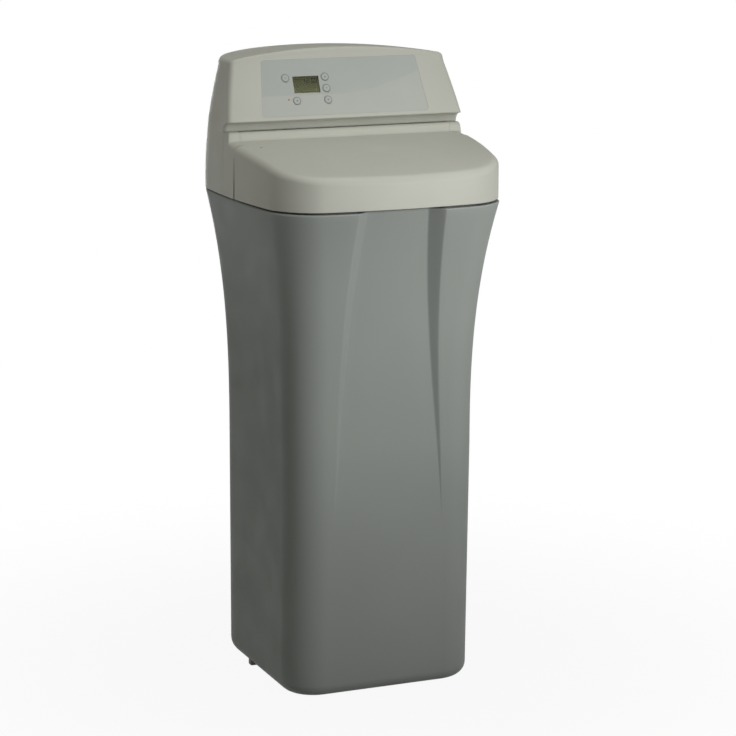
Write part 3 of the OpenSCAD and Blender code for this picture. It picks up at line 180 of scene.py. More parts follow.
class Mat:
    """A principled material with helpers for its procedural detail."""

    def __init__(self, name, roughness, **values):
        self.mat = bpy.data.materials.new(name)
        self.mat.use_nodes = True
        self.nodes, self.links = self.mat.node_tree.nodes, self.mat.node_tree.links
        self.bsdf = self.nodes["Principled BSDF"]
        self.bsdf.inputs["Roughness"].default_value = roughness
        for key, value in values.items():
            self.bsdf.inputs[key.replace("_", " ")].default_value = value
        self.coord = self.nodes.new("ShaderNodeTexCoord").outputs["Object"]

    def noise(self, scale, detail=3, stretch=None):
        node = self.nodes.new("ShaderNodeTexNoise")
        node.inputs["Scale"].default_value = scale
        node.inputs["Detail"].default_value = detail
        source = self.coord
        if stretch:
            mapping = self.nodes.new("ShaderNodeMapping")
            mapping.inputs["Scale"].default_value = stretch
            self.links.new(source, mapping.inputs["Vector"])
            source = mapping.outputs["Vector"]
        self.links.new(source, node.inputs["Vector"])
        return node.outputs["Fac"]

    def cells(self, scale):
        node = self.nodes.new("ShaderNodeTexVoronoi")
        node.inputs["Scale"].default_value = scale
        self.links.new(self.coord, node.inputs["Vector"])
        return node.outputs["Distance"]

    def ramp(self, fac, low, high, start=0.3, end=0.7):
        node = self.nodes.new("ShaderNodeValToRGB")
        node.color_ramp.elements[0].position = start
        node.color_ramp.elements[1].position = end
        node.color_ramp.elements[0].color = low
        node.color_ramp.elements[1].color = high
        self.links.new(fac, node.inputs["Fac"])
        return node.outputs["Color"]

    def math(self, kind, a, b):
        node = self.nodes.new("ShaderNodeMath")
        node.operation = kind
        for socket, value in zip(node.inputs, (a, b)):
            if isinstance(value, (int, float)):
                socket.default_value = value
            else:
                self.links.new(value, socket)
        return node.outputs["Value"]

    def mix(self, fac, a, b, kind="MIX"):
        node = self.nodes.new("ShaderNodeMix")
        node.data_type = "RGBA"
        node.blend_type = kind
        for socket, value in ((node.inputs[0], fac), (node.inputs[6], a), (node.inputs[7], b)):
            if isinstance(value, (int, float, tuple)):
                socket.default_value = value
            else:
                self.links.new(value, socket)
        return node.outputs[2]

    def color(self, socket):
        self.links.new(socket, self.bsdf.inputs["Base Color"])

    def rough(self, fac, low, high):
        node = self.nodes.new("ShaderNodeMapRange")
        node.inputs["From Min"].default_value = 0.3
        node.inputs["From Max"].default_value = 0.7
        node.inputs["To Min"].default_value = low
        node.inputs["To Max"].default_value = high
        self.links.new(fac, node.inputs["Value"])
        self.links.new(node.outputs["Result"], self.bsdf.inputs["Roughness"])

    def bump(self, height, strength, distance):
        node = self.nodes.new("ShaderNodeBump")
        node.inputs["Strength"].default_value = strength
        node.inputs["Distance"].default_value = distance
        self.links.new(height, node.inputs["Height"])
        self.links.new(node.outputs["Normal"], self.bsdf.inputs["Normal"])


def shade(srgb, k):
    return linear(tuple(max(0, min(255, c * k)) for c in srgb))


def plastic(name, srgb, roughness, spread, cloud, grain, depth=0.00006, strength=0.25, **values):
    """Moulded plastic: faint clouds in its colour and a fine grain."""
    m = Mat(name, roughness, **values)
    cloud_fac = m.noise(cloud, 4)
    m.color(m.ramp(cloud_fac, shade(srgb, 1 - spread), shade(srgb, 1 + spread)))
    grain_fac = m.noise(grain, 2)
    m.rough(m.noise(cloud * 4, 3), roughness - 0.05, roughness + 0.05)
    m.bump(grain_fac, strength, depth)
    return m


def resin_beads(name, srgb):
    m = Mat(name, 0.4)
    cell = m.cells(900)
    # Painted shading of round beads: lighter in each bead's middle, darker toward the gaps between beads
    m.color(m.ramp(cell, shade(srgb, 1.15), shade(srgb, 0.5), 0.2, 0.75))
    m.bump(cell, 0.8, -0.0005)
    return m


def wound_shell(name, srgb):
    m = Mat(name, 0.3, Coat_Weight=0.3, Coat_Roughness=0.15)
    strand = m.noise(60, 5, (1.0, 1.0, 9.0))
    m.color(m.ramp(strand, shade(srgb, 0.82), shade(srgb, 1.15)))
    m.bump(strand, 0.5, 0.0006)
    return m


def metal(name, srgb):
    m = Mat(name, 0.32, Metallic=1.0)
    brush = m.noise(420, 4, (1.0, 1.0, 14.0))
    m.color(m.ramp(brush, shade(srgb, 0.92), shade(srgb, 1.05)))
    m.rough(brush, 0.26, 0.42)
    m.bump(brush, 0.15, 0.00004)
    return m


def circuit(name, srgb):
    m = Mat(name, 0.35)
    trace = m.cells(260)
    m.color(m.ramp(trace, shade(srgb, 0.75), shade(srgb, 1.3), 0.35, 0.45))
    m.bump(trace, 0.2, 0.00005)
    return m


def panel_overlay(name):
    """Overlay in two tones, parted by a border that sweeps up to the right."""
    m = Mat(name, 0.42, Specular_IOR_Level=0.4)
    split = m.nodes.new("ShaderNodeSeparateXYZ")
    m.links.new(m.coord, split.inputs[0])
    x, y, z = split.outputs
    up = m.math("ADD", m.math("MULTIPLY", m.math("SUBTRACT", y, LIP_Y * MM), math.sin(TILT)),
                m.math("MULTIPLY", m.math("SUBTRACT", z, LIP_Z * MM), math.cos(TILT)))
    sweep = m.math("POWER", m.math("MAXIMUM", m.math("DIVIDE", x, 0.142), 0.0), 1.5)
    border = m.math("MULTIPLY_ADD", sweep, 0.035)
    border.node.inputs[2].default_value = 0.0397
    edge = m.math("SUBTRACT", up, border)
    upper = m.ramp(m.noise(12, 3), shade((171, 176, 171), 0.99), shade((171, 176, 171), 1.01))
    lower = m.ramp(m.noise(14, 3), shade((177, 181, 174), 0.99), shade((177, 181, 174), 1.01))
    step = m.nodes.new("ShaderNodeMapRange")
    step.inputs["From Min"].default_value = -0.001
    step.inputs["From Max"].default_value = 0.001
    m.links.new(edge, step.inputs["Value"])
    m.color(m.mix(step.outputs["Result"], lower, upper))
    m.bump(m.noise(1500, 2), 0.12, 0.00004)
    return m


def display_face(name):
    """Reflective display: olive, darker to the top with painted shade from the bezel, and a faint cell texture.
    """
    m = Mat(name, 0.3)
    split = m.nodes.new("ShaderNodeSeparateXYZ")
    m.links.new(m.coord, split.inputs[0])
    # Painted shade: the face turns darker toward its top, standing in for the bezel's shadow
    fade = m.nodes.new("ShaderNodeMapRange")
    fade.inputs["From Min"].default_value = 1.022
    fade.inputs["From Max"].default_value = 1.052
    m.links.new(split.outputs["Z"], fade.inputs["Value"])
    base = m.mix(fade.outputs["Result"], linear((176, 178, 146)), linear((126, 128, 98)))
    m.color(m.mix(m.noise(500, 2), base, linear((150, 152, 122)), "SOFT_LIGHT"))
    m.bump(m.noise(2200, 1), 0.1, 0.00002)
    return m


def clear_lens(name):
    m = Mat(name, 0.06, Alpha=0.06, IOR=1.49)
    m.color(m.ramp(m.noise(30, 2), linear((52, 56, 50)), linear((58, 62, 56))))
    m.rough(m.noise(80, 3), 0.04, 0.09)
    return m


MATS = {
    "tank_plastic": plastic("tank_plastic", (151, 156, 152), 0.6, 0.015, 5, 700, 0.0001, 0.3,
                            Specular_IOR_Level=0.2),
    "cover_plastic": plastic("cover_plastic", (187, 188, 178), 0.5, 0.012, 7, 900, 0.00008, 0.3,
                             Specular_IOR_Level=0.3),
    "dark_plastic": plastic("dark_plastic", (44, 46, 48), 0.5, 0.1, 20, 600, 0.00008, 0.35),
    "pale_plastic": plastic("pale_plastic", (219, 219, 209), 0.4, 0.02, 14, 700, 0.00005, 0.25),
    "overlay": panel_overlay("overlay"),
    "lens": clear_lens("lens"),
    "lcd": display_face("lcd"),
    "button": plastic("button", (170, 175, 169), 0.45, 0.015, 60, 1600, 0.00004, 0.2),
    "board": circuit("board", (26, 82, 46)),
    "steel": metal("steel", (186, 188, 191)),
    "vessel": wound_shell("vessel", (58, 80, 106)),
    "resin": resin_beads("resin", (168, 128, 62)),
    "rubber": plastic("rubber", (26, 26, 27), 0.75, 0.12, 25, 900, 0.0001, 0.4),
    "red_plastic": plastic("red_plastic", (186, 54, 42), 0.42, 0.04, 20, 800),
    "blue_plastic": plastic("blue_plastic", (58, 96, 156), 0.42, 0.04, 20, 800),
}
# Grey for the printed button marks, and for rings of painted shade at the buttons' edges
BUTTON_PRINT_AND_GAP_SHADE = plastic("ink", (126, 131, 130), 0.55, 0.05, 80, 1800, 0.00002)
INK_DARK = plastic("display_ink", (34, 36, 26), 0.5, 0.06, 80, 1800, 0.00002)
INK_RED = plastic("red_ink", (196, 66, 58), 0.55, 0.05, 80, 1800, 0.00002)


def dress(obj, mat):
    obj.data.materials.clear()
    obj.data.materials.append(mat.mat)


# Every carried-over solid takes its slot's material
SLOT = {s["node"]: s["material_slot"] for s in frame["record"]["subparts"]}
for node, obj in frame["nodes"].items():
    dress(obj, MATS[SLOT[node]])


# Salt tank: flared shell with the two-step recess in its front
def soft_step(u, d):
    if u <= -d:
        return 0.0
    if u < d:
        return (u + d) ** 2 / (4 * d)
    if u <= 1 - d:
        return u
    if u < 1 + d:
        return 1 - (1 + d - u) ** 2 / (4 * d)
    return 1.0


def tank_ring(z, inset):
    w, f, b = half_w(z) - inset, half_f(z) - inset, half_b(z) - inset
    rf, rb = FRONT_R - inset, BACK_R + BACK_R_GROWTH * flare(z) - inset
    a, c = w - rf, w - rb
    t = clamp01((z - RECESS_Z) / (TANK_H - RECESS_Z))
    xo = RECESS_X - RECESS_CLOSE * t
    xi = xo - 0.5 - FACET_W * t ** 1.2
    depth = RECESS_D * t ** 1.3
    e = min(1.8, 0.3 * (xo - xi))
    half = [lerp(a, xo + e, k / 4) for k in range(4)]
    half += [xo + e * k for k in (1, 0.5, 0, -0.5, -1)]
    half += [lerp(xo - e, xi + e, k / 3) for k in (1, 2)]
    half += [xi + e * k for k in (1, 0.5, 0, -0.5, -1)]
    half += [lerp(xi - e, 0, k / 5) for k in range(1, 6)]
    front = [-x for x in half] + half[-2:0:-1]
    plan = [(x, -f) for x in front] + arc(a, rf - f, rf, -90, 14) + line((w, rf - f), (w, b - rb), 8)
    plan += arc(c, b - rb, rb, 0, 18) + line((c, b), (-c, b), 8) + arc(-c, b - rb, rb, 90, 18)
    plan += line((-w, b - rb), (-w, rf - f), 8) + arc(-a, rf - f, rf, 180, 14)
    ring = []
    for p in plan:
        q = bowed(p, w, f, b, FRONT_BOW * flare(z), SIDE_BOW * flare(z))
        cut = 0 if p[1] > 0 else depth * soft_step((xo - abs(p[0])) / (xo - xi), e / (xo - xi))
        ring.append((q[0], q[1] + cut, z))
    return ring


def add_block(bm, x0, x1, y0, y1, z0, z1, r):
    """Block with rounded upright edges and a rounded top edge."""
    def ring(z, i):
        pts = arc(x1 - r, y0 + r, r - i, -90, 4) + arc(x1 - r, y1 - r, r - i, 0, 4)
        pts += arc(x0 + r, y1 - r, r - i, 90, 4) + arc(x0 + r, y0 + r, r - i, 180, 4)
        return [(x, y, z) for x, y in pts]
    add_loft(bm, [ring(z0, 0), ring(z1 - r / 2, 0), ring(z1 - r / 8, r / 5), ring(z1, r / 2)])


def salt_tank():
    turn = [math.radians(90 * k / 8) for k in range(9)]
    rim_z = TANK_H - RIM_R
    rings = [tank_ring(0, FOOT_R + 3)]
    rings += [tank_ring(FOOT_R * (1 - math.cos(a)), FOOT_R * (1 - math.sin(a))) for a in turn]
    rings += [tank_ring(FOOT_R + (RECESS_Z - FOOT_R) * k / 8, 0) for k in range(1, 8)]
    rings += [tank_ring(RECESS_Z + (rim_z - RECESS_Z) * k / 46, 0) for k in range(47)]
    rings += [tank_ring(rim_z + RIM_R * math.sin(a), RIM_R * (1 - math.cos(a))) for a in turn[2::2]]
    rings += [tank_ring(TANK_H, RIM_IN), tank_ring(TANK_H - 4, RIM_IN), tank_ring(TANK_H - 20, WALL)]
    rings += [tank_ring(z, WALL) for z in (780, 720, 660, 600, 540, 480, 420, 360, 300, 160, FOOT_R)]
    rings += [tank_ring(10, 9), tank_ring(6, 15), tank_ring(6, 18)]
    bm = bmesh.new()
    add_loft(bm, rings)
    for s in (-1, 1):
        x0, x1 = sorted((s * 148, s * 170))
        add_block(bm, x0, x1, 14, 30, 0, 22, 3)
    y = half_b(OVERFLOW_Z)
    around = [math.radians(10 * k) for k in range(36)]

    def pad(depth, r):
        return [(OVERFLOW_X + r * math.cos(a), depth, OVERFLOW_Z + r * math.sin(a)) for a in around]
    steps = ((-8, 12), (4, 12), (4, 18), (3, 19), (-8, 19), (-8, 12))
    add_loft(bm, [pad(y + step, r) for step, r in steps], cap=False)
    bmesh.ops.remove_doubles(bm, verts=bm.verts, dist=1e-6)
    obj = make_object("tank_shell", bm, 40)
    dress(obj, MATS["tank_plastic"])
    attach(obj, "cabinet")
    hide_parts("salt_tank")


salt_tank()


# Salt lid: sloped wedge with a rounded edge and a hinge bead along its back
def lid_top(y):
    run = y - LID_TIP_Y
    u = clamp01(run / LID_RUN)
    return LID_TIP_Z + run * math.tan(LID_SLOPE) + LID_CROWN * 4 * u * (1 - u)


# Profile of the hinge bead in (y, z), from the crease behind the lid over its top
BEAD = [(-26.6, 946.4), (-25.7, 947.1), (-25.2, 948.6), (-25, 951), (-25, 953.8), (-24.8, 956.5), (-24.2, 958.8),
        (-23, 960.7), (-21.2, 962), (-19, 962.5), (-16.7, 962), (-14.8, 960.7), (-13.5, 958.8), (-13, 956.5)]


def lid_plan(i, ir):
    w, f, rf = RIM_W - i, RIM_F - i, FRONT_R - i
    a = w - rf
    outer = line((0, -f), (a, -f), 10) + arc(a, rf - f, rf, -90, 14) + line((w, rf - f), (w, SEAM_Y - ir), 8)
    outer.append((w, SEAM_Y - ir))
    right = [bowed(p, w, f, RIM_B - i, FRONT_BOW, COVER_BOW) for p in outer]
    right += [(NOTCH_X - ir, SEAM_Y - ir), (NOTCH_X - ir, LID_REAR - ir)]
    return right + [(-x, y) for x, y in reversed(right[1:])]


def lid_ring(i, ir, drop):
    return [(x, y, lid_top(y) - drop) for x, y in lid_plan(i, ir)]


def lid_dome(i, ir, k, drop):
    """Ring drawn in to the middle of the lid's crowned top."""
    ring = [(x * k, LID_MID_Y + (y - LID_MID_Y) * k) for x, y in lid_plan(i, ir)]
    return [(x, y, lid_top(y) - drop) for x, y in ring]


def lid_foot(x, y):
    if y > SEAM_Y:
        return 900
    return 859 if abs(x) <= NOTCH_X and y > SEAM_Y - 5 else SKIRT_Z


def salt_lid():
    turn = [math.radians(90 * k / 7) for k in range(8)]
    rings = [lid_dome(8.6, LID_WALL, k, LID_WALL) for k in (0.05, 0.3, 0.55, 0.8, 1)]
    rings += [lid_ring(LID_WALL, LID_WALL, LID_R)]
    for i, ir, rise in ((LID_WALL, LID_WALL, 0), (0.6, 0.3, 0), (0, 0, 0.8)):
        rings.append([(x, y, lid_foot(x, y) + rise) for x, y in lid_plan(i, ir)])
    rings += [lid_ring(LID_R * (1 - math.cos(a)), 0, LID_R * (1 - math.sin(a))) for a in turn]
    rings += [lid_dome(LID_R, 0, k, 0) for k in (0.97, 0.9, 0.8, 0.7, 0.6, 0.5, 0.4, 0.3, 0.2, 0.1, 0.03)]
    bm = bmesh.new()
    add_loft(bm, rings)
    under = [(-15, 952.6), (-16.5, 949), (-17, 941), (-24.2, 919), (-26.4, 919)]
    add_prism(bm, BEAD + under, -NOTCH_X, NOTCH_X)
    for s in (-1, 1):
        add_rod(bm, (s * 188, HINGE_Y, HINGE_Z), (s * 201.5, HINGE_Y, HINGE_Z), PIN_R)
    obj = make_object("lid_shell", bm)

    def dimple(bm):
        at = Vector((-178, -80, lid_top(-80)))
        add_rod(bm, at - Vector((0, 0, 7)), at + Vector((0, 0, 6)), 3.2, 20)
    cut_with(obj, dimple)
    dress(obj, MATS["cover_plastic"])
    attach(obj, "lid")
    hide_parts("salt_lid", "lid_hinge_bar")


salt_lid()


# Control cover: skirt, cove under the lip, leaning panel and crown
def lean_at(z):
    return clamp01((z - SKIRT_Z) / 230) ** 2


def panel_y(z):
    return LIP_Y + (z - LIP_Z) * math.tan(TILT)


def cap_z(x, y):
    return TOP_Z - CROWN_DROP * (x / 200) ** 2 - 12 * (max(0, y - 20) / 190) ** 2


def side_x(y, z):
    return RIM_W - SIDE_LEAN * lean_at(z) + COVER_BOW * (1 - ((y - MID) / HALF) ** 2)


def cover_plan(z, front, corner, out, i):
    """Outline at a height: straight front, rounded front corners, bowed sides, large rounded back."""
    lean = lean_at(z)
    w, b, rb = RIM_W - i - SIDE_LEAN * lean, RIM_B - i - BACK_LEAN * lean, COVER_BACK_R - i
    c, y0 = w - rb, front + corner

    def bulge(p):
        rise = COVER_BOW * (1 - ((p[1] - MID) / HALF) ** 2) + out * max(0, 1 - (p[1] - front) / 60) ** 2
        return p[0] + rise * p[0] / w, p[1]
    side = line((w, y0), (w, b - rb), 12) + arc(c, b - rb, rb, 0, 18) + line((c, b), (0, b), 6)
    right = [bulge(p) for p in side]
    edge = right[0][0]
    right = arc(edge - corner, y0, corner, -90, 5) + right
    n = edge - corner
    straight = [(-n * (1 - k / 8), front) for k in range(16)]
    return straight + right + [(0, b)] + [(-x, y) for x, y in reversed(right[1:])]


def panel_ring(s, i, back):
    z = LIP_Z + s * (TOP_Z - TOP_R - LIP_Z)
    low = LIP_Z + 2 * i - 2
    front = panel_y(z) + back
    ring = []
    for x, y in cover_plan(z, front, 9 - i, LIP_FLARE * (1 - s), i):
        zz = low + s * (cap_z(x, y) - TOP_R - low)
        fade = 1 - clamp01((y - front) / 50)
        ring.append((x, y + fade * (panel_y(zz) - panel_y(z)), zz))
    return ring


def crown_ring(base, inset, k, drop):
    ring = []
    for x, y, z in base:
        r = math.hypot(x, y - CROWN_MID_Y)
        m = (r - inset) / r * k
        px, py = x * m, (y - CROWN_MID_Y) * m + CROWN_MID_Y
        ring.append((px, py, cap_z(px, py) - drop))
    return ring


def flat_ring(z, front, corner, out, i, front_z=None):
    return [(x, y, front_z if front_z and y < front + 1 and abs(x) < 208 else z)
            for x, y in cover_plan(z, front, corner, out, i)]


def on_panel(x, t, n):
    """Point on the leaning panel: across, up the slope, outward."""
    sin, cos = math.sin(TILT), math.cos(TILT)
    return Vector((x, LIP_Y + t * sin - n * cos, LIP_Z + t * cos + n * sin))


def plate_outline(grow):
    w0, w1, r, y0, y1 = 155 + grow, 143.5 + grow, 5 + grow, 3.5 - grow, 104.2 + grow
    lean = math.degrees(math.atan((w0 - w1) / (y1 - y0)))
    d0, d1 = r * math.tan(math.radians(45 + lean / 2)), r * math.tan(math.radians(45 - lean / 2))
    right = [(w0 - d0 + r * math.sin(math.radians(a)), y0 + r - r * math.cos(math.radians(a)))
             for a in (0, 15, 30, 45, 60, 75, 90 - lean)]
    right += [(w1 - d1 + r * math.cos(math.radians(a - lean)), y1 - r + r * math.sin(math.radians(a - lean)))
              for a in (0, 15, 30, 45, 60, 75, 90 + lean)]
    return right + [(-x, y) for x, y in reversed(right)]


def add_flat(bm, outline, low, high):
    """Outline on the panel, drawn outward from one height to another."""
    add_loft(bm, [[on_panel(x, t, n) for x, t in outline] for n in (low, high)])


def add_cheek(bm, s):
    """End block beside the lid: its top follows the lid, the crease and the bead."""
    edges = ((-58.6, LID_R), (-55.1, LID_R), (GROOVE_Y, LID_R), (-50, LID_R), (-40, LID_R), (-32, 11), (-28, 9))
    turn = [math.radians(90 * k / 6) for k in range(1, 7)]
    stations = [(y, lid_top(y), r) for y, r in edges]
    stations += [(y, z, 8 - 4 * k / 9) for k, (y, z) in enumerate(BEAD[:10])]
    stations += [(-13, 962.2, 3.4), (BULKHEAD_Y, 962.2, 3.4)]
    rings = []
    for y, top, r in stations:
        low = [lerp(SKIRT_Z, top - r, k / 8) for k in range(9)]
        groove = GROOVE_D if y < GROOVE_Y else 0
        pts = [(NOTCH_X + 0.4, SKIRT_Z)] + [(side_x(y, z) - groove, z) for z in low]
        edge = side_x(y, top - r) - groove
        pts += [(edge - r + r * math.cos(a), top - r + r * math.sin(a)) for a in turn]
        pts += [(NOTCH_X + 0.4, top)]
        rings.append([(s * x, y, z) for x, z in pts])
    add_loft(bm, rings)


def top_cover():
    bend = [math.radians(a) for a in range(90, -1, -10)]
    cove = [(-25.4 + 18.4 * math.sin(a), 978.2 - 16 * (1 - math.cos(a))) for a in bend]
    foot = [flat_ring(SKIRT_Z, 0, 4, 0, SKIN, SKIRT_FRONT_Z)]
    outer = [flat_ring(SKIRT_Z, BULKHEAD_Y, 1, 0, 0, SKIRT_FRONT_Z)]
    outer += [flat_ring(z, BULKHEAD_Y, 1, 0, 0) for z in (857, 875, 893, 911, 929, 945, 958, 960.6)]
    outer += [flat_ring(z, y, 7, LIP_FLARE * (z - 945) / 36, 0) for y, z in cove]
    outer += [flat_ring(978.7, -26.9, 8, LIP_FLARE, 0), flat_ring(979.4, -27.8, 8.6, LIP_FLARE, 0)]
    outer += [panel_ring(s, 0, 0) for s in (0, 0.02, 0.1, 0.2, 0.3, 0.4, 0.5, 0.6, 0.7, 0.8, 0.9, 0.97, 1)]
    top = outer[-1]
    turn = [math.radians(90 * k / 7) for k in range(1, 8)]
    outer += [crown_ring(top, TOP_R * (1 - math.cos(a)), 1, TOP_R * (1 - math.sin(a))) for a in turn]
    outer += [crown_ring(top, TOP_R, k, 0) for k in (0.97, 0.9, 0.8, 0.7, 0.6, 0.5, 0.4, 0.3, 0.2, 0.1, 0.04)]
    inside = panel_ring(1, SKIN, 4.3)
    inner = [crown_ring(inside, 5, k, SKIN) for k in (0.04, 0.35, 0.7, 1)]
    inner += [panel_ring(s, SKIN, 4.3) for s in (1, 0.75, 0.5, 0.25, 0)]
    inner += [flat_ring(z, 0, 4, 0, SKIN) for z in (974, 930, 890)]
    bm = bmesh.new()
    add_loft(bm, inner + foot + outer)
    for s in (-1, 1):
        add_cheek(bm, s)
    obj = make_object("cover_shell", bm)

    def pocket(bm):
        add_flat(bm, plate_outline(0.15), -2, 12)

    def window(bm):
        add_flat(bm, [(-122, 14.7), (10, 14.7), (10, 92.7), (-122, 92.7)], -30, 5)

    def way_out(bm):
        add_prism(bm, [(165, 900), (254, 900), (254, 968), (165, 968)], -78, 127)

    def bores(bm):
        for s in (-1, 1):
            add_rod(bm, (s * 194, HINGE_Y, HINGE_Z), (s * 203, HINGE_Y, HINGE_Z), PIN_BORE_R)
    for make in (pocket, window, way_out, bores):
        cut_with(obj, make)
    dress(obj, MATS["cover_plastic"])
    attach(obj, "cabinet")
    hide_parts("top_cover", "hinge_bracket_left", "hinge_bracket_right")


top_cover()


# Rings of painted shade at the buttons' edges, for the dark gaps round them; printed marks on the buttons, the
# display's figures and a red dot
BUTTONS = {"left": (-103.4, 71.2), "up": (-30.5, 71.2), "select": (-30.5, 50.8), "down": (-30.5, 30.1),
           "recharge": (-87.8, 30.2)}
# A grey ring just inside each button's edge is painted shade, standing in for the dark clearance gap round the
# button
RING_IN, RING_OUT = 5.7, 6.9
MARK_LOW, MARK_HIGH = 0.78, 0.83
FIGURE_LOW, FIGURE_HIGH, FIGURE_T = -2.02, -1.99, 62


def add_ring(bm, at, r0, r1, low, high):
    turn = [math.radians(7.5 * k) for k in range(48)]
    loops = [[on_panel(at[0] + r * math.cos(a), at[1] + r * math.sin(a), n) for a in turn]
             for r, n in ((r0, low), (r0, high), (r1, high), (r1, low), (r0, low))]
    add_loft(bm, loops, cap=False)
    bmesh.ops.remove_doubles(bm, verts=bm.verts, dist=1e-7)


def button_marks():
    turn = [math.radians(a) for a in range(0, 360, 20)]
    marks = {
        "left": [(-1.6, -0.5), (1.6, -0.5), (1.6, 0.5), (-1.6, 0.5)],
        "up": [(-2.1, -1.4), (2.1, -1.4), (0, 2.2)],
        "down": [(-2.1, 1.4), (0, -2.2), (2.1, 1.4)],
        "select": [(1.1 * math.cos(a), 1.1 * math.sin(a)) for a in turn],
        "recharge": [(1.5 * math.cos(a), 1.5 * math.sin(a)) for a in turn],
    }
    for name, at in BUTTONS.items():
        bm = bmesh.new()
        # Ring of painted gap shade at the button's edge
        add_ring(bm, at, RING_IN, RING_OUT, MARK_LOW, MARK_HIGH)
        add_flat(bm, [(at[0] + x, at[1] + t) for x, t in marks[name]], MARK_LOW, MARK_HIGH)
        obj = make_object(f"mark_{name}", bm)
        dress(obj, BUTTON_PRINT_AND_GAP_SHADE)
        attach(obj, f"press_{name}")


def display_marks():
    segments = {"0": "abcdef", "2": "abged", "1": "bc"}
    w, h, k = 4, 8, 1.1
    bars = {
        "a": (0, h - k, w, h), "g": (0, h / 2 - k / 2, w, h / 2 + k / 2), "d": (0, 0, w, k),
        "b": (w - k, h / 2, w, h), "c": (w - k, 0, w, h / 2), "e": (0, 0, k, h / 2), "f": (0, h / 2, k, h),
    }
    bm = bmesh.new()
    for start, digit in ((-71, "1"), (-64.5, "2"), (-55.5, "0"), (-49.5, "0")):
        for key in segments[digit]:
            x0, t0, x1, t1 = bars[key]
            corners = ((x0, t0), (x1, t0), (x1, t1), (x0, t1))
            add_flat(bm, [(start + x, FIGURE_T + t) for x, t in corners], FIGURE_LOW, FIGURE_HIGH)
    for t in (64, 67.4):
        dot = [(-58.8, t), (-57.6, t), (-57.6, t + 1.2), (-58.8, t + 1.2)]
        add_flat(bm, dot, FIGURE_LOW, FIGURE_HIGH)
    obj = make_object("display_figures", bm)
    dress(obj, INK_DARK)
    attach(obj, "cabinet")


def red_dot():
    turn = [math.radians(15 * k) for k in range(24)]
    bm = bmesh.new()
    add_flat(bm, [(-102.5 + 1.5 * math.cos(a), 32.4 + 1.5 * math.sin(a)) for a in turn], -0.02, 0.05)
    obj = make_object("red_dot", bm)
    dress(obj, INK_RED)
    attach(obj, "cabinet")


button_marks()
display_marks()
red_dot()


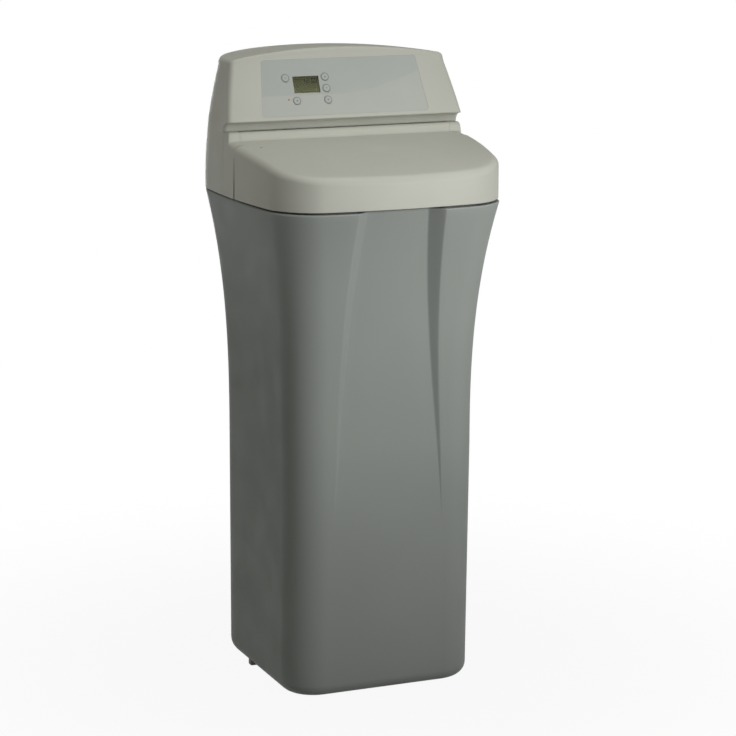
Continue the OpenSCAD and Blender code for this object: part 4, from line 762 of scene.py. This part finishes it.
# Floor, light and camera
def white_floor():
    """Floor that the camera sees white, a little grey close to the part."""
    bpy.ops.mesh.primitive_grid_add(x_subdivisions=4, y_subdivisions=4, size=40)
    floor = bpy.context.object
    floor.name = "floor"
    mat = bpy.data.materials.new("floor")
    mat.use_nodes = True
    nodes, links = mat.node_tree.nodes, mat.node_tree.links
    nodes.clear()
    out = nodes.new("ShaderNodeOutputMaterial")
    mix = nodes.new("ShaderNodeMixShader")
    plain = nodes.new("ShaderNodeBsdfDiffuse")
    plain.inputs["Color"].default_value = (0.25, 0.25, 0.245, 1)
    white = nodes.new("ShaderNodeEmission")
    path = nodes.new("ShaderNodeLightPath")
    seen = nodes.new("ShaderNodeMath")
    seen.operation = "MAXIMUM"
    links.new(path.outputs["Is Camera Ray"], seen.inputs[0])
    clear = nodes.new("ShaderNodeMath")
    clear.operation = "MAXIMUM"
    links.new(path.outputs["Is Glossy Ray"], clear.inputs[0])
    links.new(path.outputs["Is Transmission Ray"], clear.inputs[1])
    links.new(clear.outputs[0], seen.inputs[1])
    coord = nodes.new("ShaderNodeTexCoord")
    length = nodes.new("ShaderNodeVectorMath")
    length.operation = "LENGTH"
    links.new(coord.outputs["Object"], length.inputs[0])
    far = nodes.new("ShaderNodeMapRange")
    far.interpolation_type = "SMOOTHSTEP"
    far.inputs["From Min"].default_value = 0.25
    far.inputs["From Max"].default_value = 1.3
    far.inputs["To Min"].default_value = 0.93
    far.inputs["To Max"].default_value = 1.0
    links.new(length.outputs["Value"], far.inputs["Value"])
    share = nodes.new("ShaderNodeMath")
    share.operation = "MULTIPLY"
    links.new(seen.outputs[0], share.inputs[0])
    links.new(far.outputs["Result"], share.inputs[1])
    links.new(share.outputs[0], mix.inputs["Fac"])
    links.new(plain.outputs[0], mix.inputs[1])
    links.new(white.outputs[0], mix.inputs[2])
    links.new(mix.outputs[0], out.inputs["Surface"])
    floor.data.materials.append(mat)


def white_world():
    """Dim light all around, white to the camera."""
    world = bpy.data.worlds.new("world")
    scene.world = world
    world.use_nodes = True
    nodes, links = world.node_tree.nodes, world.node_tree.links
    nodes.clear()
    out = nodes.new("ShaderNodeOutputWorld")
    mix = nodes.new("ShaderNodeMixShader")
    dim = nodes.new("ShaderNodeBackground")
    dim.inputs["Color"].default_value = (1, 0.98, 0.9, 1)
    dim.inputs["Strength"].default_value = 0.2
    white = nodes.new("ShaderNodeBackground")
    white.inputs["Color"].default_value = (1, 1, 1, 1)
    path = nodes.new("ShaderNodeLightPath")
    links.new(path.outputs["Is Camera Ray"], mix.inputs["Fac"])
    links.new(dim.outputs[0], mix.inputs[1])
    links.new(white.outputs[0], mix.inputs[2])
    links.new(mix.outputs[0], out.inputs["Surface"])


def lamp(name, at, target, size, power, spread=180):
    data = bpy.data.lights.new(name, "AREA")
    data.size = size
    data.energy = power
    data.spread = math.radians(spread)
    obj = bpy.data.objects.new(name, data)
    obj.location = at
    obj.rotation_euler = (Vector(target) - Vector(at)).to_track_quat("-Z", "Y").to_euler()
    scene.collection.objects.link(obj)


def view_camera():
    data = bpy.data.cameras.new("camera")
    data.lens = 129.492
    data.sensor_width = 36
    camera = bpy.data.objects.new("camera", data)
    camera.location = (-1.7231, -4.2417, 1.4971)
    camera.rotation_euler = Vector((0.37747, 0.9028, -0.20608)).to_track_quat("-Z", "Y").to_euler()
    scene.collection.objects.link(camera)
    scene.camera = camera


white_floor()
white_world()
lamp("key", (0.53, -1.36, 0.98), (0, -0.2, 0.78), 0.6, 3.75, 98)
lamp("top", (0.0, -0.35, 2.3), (0, -0.15, 1.0), 1.4, 9.2)
lamp("back", (0.3, 2.3, 0.75), (0, 0.1, 0.65), 0.8, 12)
lamp("fill", (-1.6, -0.1, 1.3), (-0.2, -0.06, 1.0), 0.5, 0.15, 34)
view_camera()
scene.view_settings.view_transform = "Standard"
